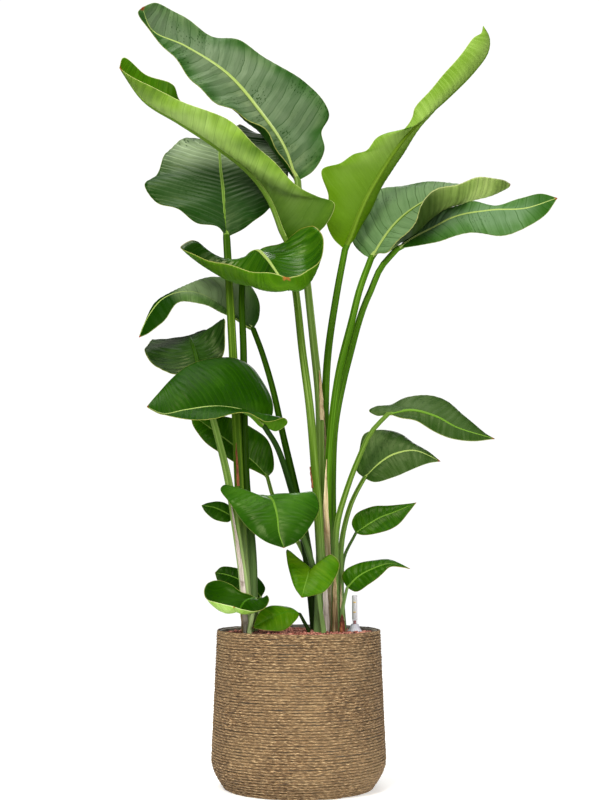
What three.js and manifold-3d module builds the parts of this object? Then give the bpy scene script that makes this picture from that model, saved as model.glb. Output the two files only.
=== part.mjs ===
import * as THREE from "three";
import Module from "manifold-3d";
import { mergeVertices } from "three/addons/utils/BufferGeometryUtils.js";

// A potted bird of paradise: two fans of leaves in a rope-wound planter filled with clay granules.
// Millimetres, +Z up, origin at the centre of the planter's flat bottom, front towards -Y.

// Driving sizes of the planter and its filling
const PLANTER_HEIGHT = 311;
const RIM_RADIUS = 165;
const BELLY_RADIUS = 175;
const BELLY_HEIGHT = 58;
const FOOT_RADIUS = 148;
const ROPE_THICKNESS = 6;
const ROPE_ROWS = 13;
const ROPE_RELIEF = 1.6;
const LINER_WALL = 3;
const LINER_FLOOR = 4;
const GAP = 0.3;
const ROUND_SEGMENTS = 36;
const HOLE_SEGMENTS = 14;
const CLAY_LEVEL = 299;
const CLAY_DOME = 4;
const CLAY_GRAIN = 3.5;
const CLAY_RINGS = 9;
const CLAY_SPOKES = 32;

// The water gauge, standing in the clay behind the right-hand fan
const GAUGE_X = 115;
const GAUGE_Y = 45;
const GAUGE_BOTTOM = 30;
const GAUGE_TOP = 377;
const GAUGE_RADIUS = 5.5;
const GAUGE_WALL = 1.5;
const FLOAT_RADIUS = 3.2;
const FLOAT_TOP = 326;
const CAP_RADIUS = 16;
const CAP_HEIGHT = 17;
const CAP_BRIM = 2;
const CAP_SHOULDER_RADIUS = 11;
const CAP_SHOULDER_HEIGHT = 8;
const CAP_LIP = 1.2;
const CAP_SEAT = 302;

// Leaf build: the petioles stand in straight holes in the clay
const STEM_FOOT = 245;
const STEM_STRAIGHT = 312;
const HOLE_ROOM = 0.4;
const BLADE_THICKNESS = 1.2;
const TIP_RADIUS = 0.7;
const MIDRIB_DEPTH = 1.5;
const LAST_ROW = 0.985;
const LARGE = { rows: 11, columns: [0.34, 0.67, 1], rings: 8 };
const SMALL = { rows: 7, columns: [0.5, 1], rings: 5 };

// The point the leaves are seen from: a leaf's points are written as x and height on the upright
// plane through the planter's axis, then the depth behind (+) or in front of (-) that plane to
// which the point is moved along the line of sight.
const EYE = new THREE.Vector3(2.6, -2800, 487);

// Each leaf: its petiole from the clay up, its midrib from base to tip, and its two margins, left
// and right as one looks from base to tip at the upper face. A bulge (mm) rounds the half between
// midrib and margin, up where it is positive. wave: ripples of the margin, their height, a phase.
const LEAVES = [
  {
    name: "leaf_left_1",
    large: true,
    stalk: [
      [40, 306, 68], [44, 450, 66], [44, 612, 64], [42, 776, 66], [30, 900, 75],
      [18, 1016, 86], [6, 1132, 96],
    ],
    stalkRadii: [10, 7.5],
    rib: [
      [-2, 1236, 105], [-28, 1310, 108], [-78, 1384, 115], [-150, 1468, 125],
      [-240, 1528, 130], [-310, 1562, 118], [-332, 1612, 95],
    ],
    left: [
      [-22, 1268, 82], [-78, 1352, 72], [-134, 1384, 85], [-198, 1424, 98], [-268, 1508, 112],
      [-320, 1566, 108], [-340, 1602, 92],
    ],
    leftBulge: [-25, -28, -12, -4, 0],
    right: [
      [30, 1258, 92], [54, 1302, 105], [48, 1342, 118], [64, 1380, 128], [14, 1450, 142],
      [-44, 1484, 150], [-124, 1538, 156], [-182, 1550, 156], [-252, 1596, 146],
      [-300, 1622, 122],
    ],
    rightBulge: [0, 0, 0, 0, 10],
    wave: [6, 4, 0.1],
  },
  {
    name: "leaf_left_2",
    large: true,
    stalk: [[52, 306, 8], [46, 450, 10], [36, 612, 14], [24, 756, 20], [8, 880, 30], [-6, 1006, 42]],
    stalkRadii: [11, 8],
    rib: [
      [-24, 1110, 50], [-60, 1200, 38], [-102, 1256, 18], [-176, 1314, -20], [-250, 1362, -55],
      [-324, 1408, -88], [-378, 1480, -112],
    ],
    left: [
      [12, 1110, 25], [56, 1142, 0], [74, 1188, -15], [40, 1202, -15], [6, 1222, -15],
      [-50, 1272, -28], [-124, 1348, -55], [-190, 1388, -82], [-254, 1410, -100],
      [-314, 1442, -118], [-356, 1464, -122],
    ],
    leftBulge: [-12, -14, -14, -12, -6],
    right: [
      [-4, 1150, 64], [-18, 1196, 70], [-56, 1256, 68], [-124, 1322, 45], [-196, 1374, 5],
      [-250, 1410, -30], [-266, 1442, -50], [-324, 1468, -78], [-370, 1502, -100],
    ],
    rightBulge: [-6, -10, -10, -8, -4],
    wave: [5, 3, 0.3],
  },
  {
    name: "leaf_left_3",
    large: true,
    stalk: [
      [-92, 306, 25], [-94, 450, 26], [-108, 612, 28], [-112, 736, 30], [-114, 880, 34],
      [-118, 984, 38],
    ],
    stalkRadii: [10, 6.5],
    rib: [
      [-116, 1044, 40], [-108, 1074, 20], [-88, 1090, -12], [-68, 1074, -50], [-48, 1046, -84],
      [-28, 1016, -112], [-20, 1006, -134], [-26, 1032, -152],
    ],
    left: [
      [-76, 1092, 22], [-28, 1110, 12], [8, 1132, -2], [32, 1142, -22], [52, 1110, -60],
      [44, 1072, -95], [8, 1038, -126], [-14, 1034, -145],
    ],
    leftBulge: [-5, -14, -32, -36, -28],
    right: [
      [-138, 1070, 34], [-162, 1060, 30], [-182, 1054, 27], [-194, 1090, 30], [-220, 1110, 20],
      [-246, 1098, 0], [-206, 1074, -40], [-160, 1062, -80], [-102, 1046, -118],
      [-60, 1042, -140],
    ],
    rightBulge: [-5, -24, -52, -38, -26],
    wave: [4, 3, 0.0],
  },
  {
    name: "leaf_left_4",
    large: true,
    stalk: [
      [-102, 306, -2], [-112, 450, 0], [-122, 612, 6], [-128, 736, 12], [-136, 880, 26],
      [-144, 1016, 48],
    ],
    stalkRadii: [11, 8],
    rib: [
      [-150, 1116, 72], [-154, 1164, 80], [-158, 1218, 92], [-164, 1270, 112],
      [-162, 1320, 150], [-124, 1358, 205],
    ],
    left: [
      [-168, 1138, 62], [-210, 1146, 56], [-248, 1174, 58], [-294, 1190, 64], [-322, 1226, 78],
      [-296, 1254, 95], [-278, 1294, 125], [-248, 1324, 150], [-192, 1328, 180],
    ],
    leftBulge: [6, 6, 4, 0, 0],
    right: [
      [-110, 1138, 82], [-68, 1172, 95], [-34, 1212, 120], [-22, 1256, 142], [-32, 1296, 165],
      [-78, 1334, 190],
    ],
    rightBulge: [6, 6, 4, 0, 0],
    wave: [6, 4, 0.0],
  },
  {
    name: "leaf_left_5",
    large: true,
    stalk: [
      [36, 306, 45], [28, 410, 50], [12, 510, 56], [-8, 602, 64], [-32, 704, 74],
      [-54, 802, 84], [-76, 876, 90],
    ],
    stalkRadii: [9, 6],
    rib: [
      [-94, 924, 92], [-130, 950, 88], [-188, 990, 64], [-234, 1002, 36], [-282, 986, 14],
      [-312, 948, 2], [-330, 906, -4],
    ],
    left: [
      [-108, 930, 76], [-130, 944, 66], [-158, 958, 62], [-192, 972, 38], [-226, 982, 12],
      [-252, 976, -6], [-280, 940, -16], [-308, 916, -12],
    ],
    leftBulge: [6, 6, 6, 4, 0],
    right: [
      [-82, 948, 112], [-82, 980, 125], [-108, 1020, 130], [-146, 1032, 125],
      [-188, 1030, 108], [-226, 1014, 78], [-262, 998, 45], [-298, 978, 20], [-318, 938, 5],
    ],
    rightBulge: [8, 8, 8, 4, 0],
    wave: [4, 2, 0.0],
  },
  {
    name: "leaf_left_6",
    large: true,
    stalk: [
      [-104, 306, -30], [-112, 410, -28], [-130, 530, -26], [-146, 622, -26], [-176, 738, -32],
      [-194, 802, -33],
    ],
    stalkRadii: [10, 6],
    rib: [
      [-206, 842, -24], [-212, 870, -6], [-220, 894, 20], [-228, 908, 65], [-238, 906, 115],
      [-254, 894, 155],
    ],
    left: [
      [-236, 830, -26], [-276, 836, -20], [-306, 856, -5], [-318, 880, 15], [-306, 898, 50],
      [-282, 900, 100],
    ],
    leftBulge: [-4, -6, -4, 0, 0],
    right: [
      [-178, 842, -4], [-156, 870, 6], [-152, 912, 12], [-154, 946, 20], [-176, 928, 66],
      [-212, 914, 118],
    ],
    rightBulge: [-6, -10, -6, 0, 0],
    wave: [5, 2, 0.2],
  },
  {
    name: "leaf_left_7",
    large: true,
    stalk: [[32, 306, 26], [24, 390, 21], [8, 504, 0], [-16, 598, -24], [-44, 680, -46]],
    stalkRadii: [9, 6],
    rib: [
      [-70, 722, -62], [-104, 752, -76], [-166, 764, -92], [-234, 756, -108],
      [-278, 748, -116], [-312, 762, -116],
    ],
    left: [
      [-46, 712, -62], [-24, 726, -70], [-30, 738, -88], [-64, 734, -104], [-104, 748, -116],
      [-172, 740, -130], [-234, 736, -136], [-284, 748, -130],
    ],
    leftBulge: [0, 0, 0, 0, 0],
    right: [
      [-54, 748, -42], [-56, 780, -26], [-76, 818, -16], [-100, 846, -12], [-138, 864, -14],
      [-188, 862, -22], [-228, 846, -38], [-264, 818, -60], [-296, 782, -92],
    ],
    rightBulge: [6, 14, 14, 10, 4],
    wave: [3, 2, 0.0],
  },
  {
    name: "leaf_left_8",
    large: false,
    stalk: [[38, 306, 93], [32, 370, 92], [12, 458, 90], [-14, 508, 88], [-50, 572, 85]],
    stalkRadii: [6, 4],
    rib: [[-64, 618, 88], [-84, 640, 84], [-130, 680, 76], [-178, 716, 68], [-220, 746, 60]],
    left: [[-90, 630, 76], [-130, 648, 68], [-166, 670, 62], [-196, 694, 58], [-218, 726, 56]],
    leftBulge: [3, 3, 3],
    right: [[-52, 632, 96], [-52, 662, 102], [-68, 698, 104], [-106, 726, 96], [-162, 744, 78]],
    rightBulge: [3, 3, 3],
    wave: [3, 2, 0.0],
  },
  {
    name: "leaf_left_9",
    large: true,
    stalk: [[38, 306, -12], [38, 390, -16], [22, 460, -24], [-6, 526, -34], [-42, 560, -44]],
    stalkRadii: [8, 5],
    rib: [
      [-62, 572, -52], [-62, 580, -68], [-52, 568, -88], [-44, 540, -106], [-40, 504, -124],
      [-30, 474, -138],
    ],
    left: [
      [-30, 580, -44], [2, 584, -48], [30, 586, -56], [42, 556, -78], [24, 518, -102],
      [-4, 486, -126],
    ],
    leftBulge: [4, 8, 8, 4],
    right: [
      [-96, 576, -42], [-126, 576, -42], [-136, 588, -46], [-150, 604, -52], [-160, 594, -64],
      [-136, 558, -92], [-104, 516, -116], [-70, 488, -132],
    ],
    rightBulge: [4, 8, 8, 4],
    wave: [3, 2, 0.5],
  },
  {
    name: "leaf_left_10",
    large: false,
    stalk: [[-110, 306, 52], [-114, 390, 50], [-122, 466, 46], [-126, 508, 42]],
    stalkRadii: [5, 3.5],
    rib: [[-134, 536, 38], [-150, 546, 38], [-172, 556, 37], [-198, 560, 36]],
    left: [[-144, 526, 30], [-172, 532, 29], [-190, 546, 31]],
    leftBulge: [2, 2],
    right: [[-142, 560, 46], [-164, 568, 45], [-184, 566, 42]],
    rightBulge: [2, 2],
    wave: [2, 1, 0.0],
  },
  {
    name: "leaf_left_11",
    large: false,
    stalk: [[-100, 302, -52], [-94, 338, -52]],
    stalkRadii: [5, 3.5],
    rib: [
      [-88, 374, -48], [-98, 372, -62], [-110, 366, -78], [-118, 354, -92], [-124, 346, -104],
      [-130, 356, -118],
    ],
    left: [
      [-72, 374, -44], [-64, 378, -54], [-60, 368, -70], [-70, 352, -88], [-90, 346, -102],
      [-110, 350, -112],
    ],
    leftBulge: [-3, -6, -8, -5],
    right: [
      [-98, 380, -54], [-116, 386, -52], [-138, 402, -44], [-162, 408, -40], [-184, 402, -52],
      [-192, 386, -72], [-186, 372, -90], [-168, 366, -102], [-148, 360, -112],
    ],
    rightBulge: [-4, -10, -16, -14],
    wave: [2, 1, 0.0],
  },
  {
    name: "leaf_left_12",
    large: false,
    stalk: [[-92, 306, 58], [-80, 342, 66]],
    stalkRadii: [4.5, 3],
    rib: [[-76, 374, 70], [-92, 392, 72], [-120, 410, 74], [-146, 420, 76], [-170, 424, 78]],
    left: [[-90, 374, 62], [-128, 384, 62], [-162, 404, 66]],
    leftBulge: [2, 2],
    right: [[-68, 394, 84], [-84, 416, 88], [-120, 432, 86], [-156, 436, 82]],
    rightBulge: [2, 2],
    wave: [2, 1, 0.0],
  },
  {
    name: "leaf_left_13",
    large: false,
    stalk: [[20, 302, -38], [14, 320, -37]],
    stalkRadii: [4, 3],
    rib: [[2, 342, -36], [-20, 346, -40], [-46, 338, -48], [-70, 326, -58], [-92, 314, -64]],
    left: [[-6, 328, -52], [-28, 310, -62], [-62, 308, -68], [-86, 312, -66]],
    leftBulge: [2, 3, 2],
    right: [[-16, 354, -28], [-40, 358, -32], [-62, 356, -40], [-80, 344, -50]],
    rightBulge: [2, 2],
    wave: [2, 1, 0.0],
  },
  {
    name: "leaf_left_14",
    large: false,
    stalk: [[50, 306, -30], [44, 346, -36], [38, 390, -46]],
    stalkRadii: [5.5, 4],
    rib: [[30, 428, -58], [22, 428, -68], [16, 410, -80], [10, 390, -88], [6, 374, -92]],
    left: [
      [48, 446, -50], [64, 460, -52], [82, 444, -62], [76, 418, -76], [52, 386, -90],
      [26, 378, -93],
    ],
    leftBulge: [3, 5, 3],
    right: [[2, 452, -52], [-24, 470, -46], [-24, 450, -60], [-18, 424, -74], [-8, 394, -88]],
    rightBulge: [3, 5, 3],
    wave: [2, 1, 0.0],
  },
  {
    name: "leaf_right_1",
    large: true,
    stalk: [[62, 306, 84], [60, 450, 88], [56, 612, 92], [54, 746, 88], [60, 870, 76], [78, 994, 62]],
    stalkRadii: [10, 7],
    rib: [
      [96, 1090, 50], [134, 1186, 46], [172, 1256, 46], [216, 1322, 50], [256, 1366, 58],
      [310, 1414, 74], [368, 1472, 78], [398, 1514, 66], [402, 1546, 57], [390, 1572, 50],
    ],
    left: [
      [118, 1116, 66], [146, 1168, 78], [182, 1238, 84], [222, 1302, 84], [264, 1366, 86],
      [302, 1408, 96], [334, 1440, 100], [360, 1480, 94], [384, 1518, 80], [396, 1546, 64],
    ],
    leftBulge: [-6, -8, -6, 0, 0],
    right: [
      [70, 1116, 38], [56, 1156, 32], [62, 1204, 26], [48, 1260, 24], [86, 1274, 26],
      [116, 1294, 28], [142, 1302, 29], [162, 1328, 31], [188, 1340, 34], [216, 1344, 38],
      [238, 1370, 40], [246, 1396, 42], [298, 1456, 46], [344, 1512, 48], [370, 1546, 50],
      [386, 1556, 50],
    ],
    rightBulge: [-6, -8, -6, -20, -26, -14],
    wave: [5, 2, 0.0],
  },
  {
    name: "leaf_right_2",
    large: true,
    stalk: [
      [66, 306, 38], [62, 450, 34], [60, 612, 22], [68, 724, 12], [84, 838, 14],
      [110, 942, 22], [126, 1006, 30],
    ],
    stalkRadii: [10, 7],
    rib: [
      [150, 1072, 48], [168, 1104, 50], [192, 1138, 54], [220, 1166, 58], [258, 1192, 62],
      [316, 1218, 70], [378, 1224, 80], [442, 1230, 86],
    ],
    left: [
      [132, 1082, 66], [112, 1108, 92], [118, 1152, 112], [134, 1188, 120], [170, 1218, 126],
      [222, 1228, 128], [296, 1234, 124], [354, 1230, 110], [410, 1230, 96],
    ],
    leftBulge: [4, 4, 2, 0],
    right: [
      [164, 1082, 26], [182, 1086, -6], [204, 1106, -30], [228, 1126, -42], [242, 1150, -50],
      [254, 1186, -56], [290, 1218, -50], [336, 1232, -34], [382, 1244, -4], [424, 1240, 44],
    ],
    rightBulge: [-6, -24, -40, -40, -44, -34],
    wave: [4, 2, 0.0],
  },
  {
    name: "leaf_right_3",
    large: true,
    stalk: [
      [76, 306, 58], [70, 450, 58], [68, 612, 56], [74, 724, 55], [92, 818, 58],
      [108, 880, 60], [122, 932, 64], [136, 974, 64], [150, 1006, 60], [170, 1052, 52],
    ],
    stalkRadii: [10, 6.5],
    rib: [
      [204, 1092, 40], [236, 1114, 34], [274, 1134, 22], [326, 1160, 2], [398, 1174, -26],
      [472, 1178, -46], [540, 1200, -56],
    ],
    left: [
      [216, 1104, 60], [236, 1126, 72], [256, 1150, 80], [282, 1170, 72], [306, 1176, 46],
      [336, 1184, 18], [364, 1194, -2], [414, 1184, -18], [462, 1198, -28], [504, 1210, -40],
    ],
    leftBulge: [2, 2, 2, 0],
    right: [
      [228, 1096, 28], [262, 1102, 8], [298, 1108, -8], [356, 1128, -32], [418, 1118, -60],
      [460, 1132, -66], [514, 1164, -64],
    ],
    rightBulge: [4, 6, 4, 0],
    wave: [3, 2, 0.2],
  },
  {
    name: "leaf_right_4",
    large: false,
    stalk: [
      [74, 306, 10], [74, 410, 8], [78, 520, 2], [98, 592, -4], [124, 660, -12],
      [150, 712, -18],
    ],
    stalkRadii: [8, 4.5],
    rib: [[184, 748, -24], [232, 756, -36], [284, 742, -48], [324, 720, -56], [402, 696, -66]],
    left: [
      [162, 744, -20], [144, 754, -12], [158, 762, -6], [188, 766, -4], [218, 782, 0],
      [260, 786, -8], [304, 774, -20], [342, 742, -38], [382, 708, -56],
    ],
    leftBulge: [-2, 3, 4, 2],
    right: [[208, 740, -42], [238, 734, -52], [274, 714, -62], [314, 696, -70], [360, 692, -70]],
    rightBulge: [-3, -3, 0, 0],
    wave: [3, 1, 0.0],
  },
  {
    name: "leaf_right_5",
    large: false,
    stalk: [[88, 306, 30], [84, 390, 30], [88, 490, 28], [104, 556, 24], [118, 588, 22]],
    stalkRadii: [7, 4.5],
    rib: [[134, 616, 20], [170, 650, 11], [198, 666, 5], [238, 672, -2], [290, 650, -10]],
    left: [
      [118, 632, 26], [124, 674, 30], [134, 706, 34], [166, 714, 32], [208, 708, 24],
      [238, 686, 12], [268, 668, 0],
    ],
    leftBulge: [3, 4, 3],
    right: [[154, 608, 8], [190, 616, 0], [228, 632, -8], [264, 646, -12]],
    rightBulge: [3, 4, 3],
    wave: [3, 1, 0.0],
  },
  {
    name: "leaf_right_6",
    large: false,
    stalk: [[92, 306, 72], [88, 390, 68], [92, 454, 60]],
    stalkRadii: [4.5, 3],
    rib: [[116, 504, 50], [142, 522, 48], [166, 536, 46], [198, 548, 43], [240, 566, 40]],
    left: [[108, 524, 54], [118, 544, 56], [150, 558, 54], [182, 560, 50], [210, 562, 45]],
    leftBulge: [2, 2],
    right: [[130, 500, 44], [170, 506, 38], [204, 522, 36], [224, 546, 38]],
    rightBulge: [2, 2],
    wave: [3, 1, 0.0],
  },
  {
    name: "leaf_right_7",
    large: false,
    stalk: [[88, 306, -10], [88, 346, -13]],
    stalkRadii: [4.5, 3],
    rib: [[98, 394, -18], [120, 416, -22], [150, 432, -30], [186, 442, -38], [226, 432, -46]],
    left: [
      [88, 416, -10], [96, 430, -8], [118, 442, -8], [148, 448, -14], [178, 452, -24],
      [206, 442, -38],
    ],
    leftBulge: [2, 3, 2],
    right: [[116, 386, -24], [142, 400, -34], [170, 422, -42], [188, 436, -45]],
    rightBulge: [2, 3, 2],
    wave: [3, 1, 0.0],
  },
];

const COLOURS = {
  leafDark: 0x2f6a22,
  leafBright: 0x6f9f2c,
  rope: 0x9a7b50,
  liner: 0x5f6060,
  clay: 0x93604f,
  gauge: 0xd9dedb,
  float: 0xb5302a,
  cap: 0x6f7c88,
};

const wasm = await Module();
wasm.setup();

function material(colour, roughness) {
  return new THREE.MeshStandardMaterial({ color: colour, roughness, metalness: 0 });
}

function meshOf(name, geometry, colour, roughness) {
  geometry.computeVertexNormals();
  const mesh = new THREE.Mesh(geometry, material(colour, roughness));
  mesh.name = name;
  return mesh;
}

function geometryOf(points, faces) {
  const geometry = new THREE.BufferGeometry();
  const flat = points.flatMap((p) => [p.x, p.y, p.z]);
  geometry.setAttribute("position", new THREE.Float32BufferAttribute(flat, 3));
  geometry.setIndex(faces.flat());
  return geometry;
}

function solidOf(geometry) {
  const bare = geometry.clone();
  bare.deleteAttribute("normal");
  bare.deleteAttribute("uv");
  const merged = mergeVertices(bare, 1e-4);
  const mesh = new wasm.Mesh({
    numProp: 3,
    vertProperties: new Float32Array(merged.getAttribute("position").array),
    triVerts: new Uint32Array(merged.getIndex().array),
  });
  return new wasm.Manifold(mesh);
}

function geometryFrom(solid) {
  const mesh = solid.getMesh();
  const geometry = new THREE.BufferGeometry();
  geometry.setAttribute("position", new THREE.Float32BufferAttribute(mesh.vertProperties, 3));
  geometry.setIndex(Array.from(mesh.triVerts));
  return geometry;
}

// A profile of [radius, height] pairs turned about the upright axis
function turned(profile, segments) {
  const points = profile.map(([r, z]) => new THREE.Vector2(r, z));
  return new THREE.LatheGeometry(points, segments).rotateX(Math.PI / 2);
}

// The planter's outer outline: a narrower foot, a low round belly, straight sloping sides
function planterRadius(z) {
  if (z < BELLY_HEIGHT) {
    const rise = z / BELLY_HEIGHT;
    return FOOT_RADIUS + (BELLY_RADIUS - FOOT_RADIUS) * Math.sin((rise * Math.PI) / 2);
  }
  const up = (z - BELLY_HEIGHT) / (PLANTER_HEIGHT - BELLY_HEIGHT);
  return BELLY_RADIUS + (RIM_RADIUS - BELLY_RADIUS) * up;
}

// The rope skin: one rounded ridge for each few turns of the rope, inside it a plain wall
function ropeWrap() {
  const bottom = 1;
  const rowHeight = (PLANTER_HEIGHT - bottom) / ROPE_ROWS;
  const profile = [];
  for (let row = 0; row < ROPE_ROWS; row += 1) {
    const start = bottom + row * rowHeight;
    const middle = start + rowHeight / 2;
    profile.push([planterRadius(start) - ROPE_RELIEF, start]);
    profile.push([planterRadius(middle), middle]);
  }
  profile.push([RIM_RADIUS - ROPE_RELIEF, PLANTER_HEIGHT]);
  const inner = [PLANTER_HEIGHT, 180, BELLY_HEIGHT, 24, bottom];
  for (const z of inner) {
    profile.push([planterRadius(z) - ROPE_THICKNESS, z]);
  }
  profile.push(profile[0]);
  return turned(profile, ROUND_SEGMENTS);
}

// The liner: the open inner pot that holds the clay, its flat bottom is what the planter rests on
function planterLiner() {
  const offset = ROPE_THICKNESS + GAP;
  const outer = [0, 24, BELLY_HEIGHT, 180, PLANTER_HEIGHT - 1.5];
  const profile = [[0, 0]];
  for (const z of outer) {
    profile.push([planterRadius(z) - offset, z]);
  }
  for (const z of outer.slice(1).reverse()) {
    profile.push([planterRadius(z) - offset - LINER_WALL, z]);
  }
  profile.push([planterRadius(LINER_FLOOR) - offset - LINER_WALL, LINER_FLOOR]);
  profile.push([0, LINER_FLOOR]);
  return turned(profile, ROUND_SEGMENTS);
}

// A repeatable uneven value between 0 and 1 for a grain of the clay
function unevenness(a, b) {
  const value = Math.sin(a * 12.9898 + b * 78.233) * 43758.5453;
  return value - Math.floor(value);
}

function clayHeight(ring, spoke) {
  const inward = 1 - ring / CLAY_RINGS;
  const grain = CLAY_GRAIN * unevenness(ring + 1, spoke);
  return CLAY_LEVEL + CLAY_DOME * inward + grain;
}

// The clay fill: a body as wide as the liner allows, its top a relief of coarse grains
function clayBody() {
  const room = ROPE_THICKNESS + 2 * GAP + LINER_WALL;
  const levels = [CLAY_LEVEL, 180, BELLY_HEIGHT, 24, LINER_FLOOR + GAP];
  const points = [new THREE.Vector3(0, 0, CLAY_LEVEL + CLAY_DOME)];
  const reach = planterRadius(CLAY_LEVEL) - room;
  for (let ring = 1; ring < CLAY_RINGS; ring += 1) {
    for (let spoke = 0; spoke < CLAY_SPOKES; spoke += 1) {
      const turn = ((spoke + (ring % 2) / 2) / CLAY_SPOKES) * 2 * Math.PI;
      const r = (reach * ring) / CLAY_RINGS;
      points.push(new THREE.Vector3(r * Math.cos(turn), r * Math.sin(turn), clayHeight(ring, spoke)));
    }
  }
  for (const z of levels) {
    for (let spoke = 0; spoke < CLAY_SPOKES; spoke += 1) {
      const turn = ((spoke + (CLAY_RINGS % 2) / 2) / CLAY_SPOKES) * 2 * Math.PI;
      const r = (planterRadius(z) - room) * Math.cos(Math.PI / CLAY_SPOKES);
      points.push(new THREE.Vector3(r * Math.cos(turn), r * Math.sin(turn), z));
    }
  }
  points.push(new THREE.Vector3(0, 0, LINER_FLOOR + GAP));
  const faces = [];
  const ringCount = CLAY_RINGS - 1 + levels.length;
  const at = (ring, spoke) => 1 + ring * CLAY_SPOKES + (spoke % CLAY_SPOKES);
  for (let spoke = 0; spoke < CLAY_SPOKES; spoke += 1) {
    faces.push([0, at(0, spoke), at(0, spoke + 1)]);
    for (let ring = 0; ring < ringCount - 1; ring += 1) {
      faces.push([at(ring, spoke), at(ring + 1, spoke), at(ring + 1, spoke + 1)]);
      faces.push([at(ring, spoke), at(ring + 1, spoke + 1), at(ring, spoke + 1)]);
    }
    faces.push([points.length - 1, at(ringCount - 1, spoke + 1), at(ringCount - 1, spoke)]);
  }
  return geometryOf(points, faces);
}

// An upright many-sided cylinder whose flats are at the given radius
function uprightCylinder(x, y, radius, bottom, top) {
  const corner = radius / Math.cos(Math.PI / HOLE_SEGMENTS);
  const geometry = new THREE.CylinderGeometry(corner, corner, top - bottom, HOLE_SEGMENTS);
  geometry.rotateX(Math.PI / 2);
  geometry.translate(x, y, (bottom + top) / 2);
  return geometry;
}

function clayFill() {
  const above = CLAY_LEVEL + 60;
  let clay = solidOf(clayBody());
  for (const leaf of LEAVES) {
    const foot = seen(leaf.stalk[0]);
    const radius = leaf.stalkRadii[0] + HOLE_ROOM;
    clay = clay.subtract(solidOf(uprightCylinder(foot.x, foot.y, radius, STEM_FOOT - GAP, above)));
  }
  const gaugeHole = uprightCylinder(GAUGE_X, GAUGE_Y, GAUGE_RADIUS + HOLE_ROOM, GAUGE_BOTTOM - GAP, above);
  const capSeat = uprightCylinder(GAUGE_X, GAUGE_Y, CAP_RADIUS + HOLE_ROOM, CAP_SEAT - GAP, above);
  return geometryFrom(clay.subtract(solidOf(gaugeHole)).subtract(solidOf(capSeat)));
}

function gaugeTube() {
  const inside = GAUGE_RADIUS - GAUGE_WALL;
  return turned([
    [0, GAUGE_TOP - 3],
    [inside, GAUGE_TOP - 3],
    [inside, GAUGE_BOTTOM],
    [GAUGE_RADIUS, GAUGE_BOTTOM],
    [GAUGE_RADIUS, GAUGE_TOP - 2],
    [GAUGE_RADIUS - 2, GAUGE_TOP],
    [0, GAUGE_TOP],
  ], 14);
}

// The float: a buoyant body low in the tube with a thin rod up to the red tip that is read
function gaugeFloat() {
  return turned([
    [0, GAUGE_BOTTOM + 8],
    [FLOAT_RADIUS, GAUGE_BOTTOM + 12],
    [FLOAT_RADIUS, GAUGE_BOTTOM + 80],
    [1, GAUGE_BOTTOM + 84],
    [1, FLOAT_TOP - 12],
    [FLOAT_RADIUS, FLOAT_TOP - 10],
    [FLOAT_RADIUS, FLOAT_TOP],
    [0, FLOAT_TOP],
  ], 12);
}

function gaugeCap() {
  const bore = GAUGE_RADIUS + 0.4;
  return turned([
    [bore, 0],
    [CAP_RADIUS, 0],
    [CAP_RADIUS, CAP_BRIM],
    [CAP_SHOULDER_RADIUS, CAP_SHOULDER_HEIGHT],
    [bore + CAP_LIP, CAP_HEIGHT],
    [bore, CAP_HEIGHT],
    [bore, 0],
  ], 20);
}

function seen([x, height, depth]) {
  const onPlane = new THREE.Vector3(x, 0, height);
  return EYE.clone().lerp(onPlane, 1 - depth / EYE.y);
}

function curveThrough(points) {
  return new THREE.CatmullRomCurve3(points, false, "centripetal");
}

// A smooth value at share t of a short list of evenly spaced values
function spread(values, t) {
  const place = Math.min(Math.max(t, 0), 1) * (values.length - 1);
  const i = Math.min(Math.floor(place), values.length - 2);
  const f = place - i;
  const before = values[Math.max(i - 1, 0)];
  const after = values[Math.min(i + 2, values.length - 1)];
  const [from, to] = [values[i], values[i + 1]];
  const bend = 2 * before - 5 * from + 4 * to - after;
  const turn = 3 * from - before - 3 * to + after;
  return 0.5 * (2 * from + (to - before) * f + bend * f * f + turn * f * f * f);
}

// The directions square to one half of the blade, row by row, evened out along the leaf
function upwards(ribPoints, tangents, edgePoints, side) {
  let ups = ribPoints.map((point, row) => {
    const across = edgePoints[row].clone().sub(point);
    return across.cross(tangents[row]).multiplyScalar(side).normalize();
  });
  for (let pass = 0; pass < 3; pass += 1) {
    const last = ups.length - 1;
    ups = ups.map((up, row) => {
      const near = Math.min(Math.max(row, 1), last - 1);
      return ups[near - 1].clone().add(ups[near + 1]).addScaledVector(ups[near], 2).normalize();
    });
  }
  return ups;
}

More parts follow.
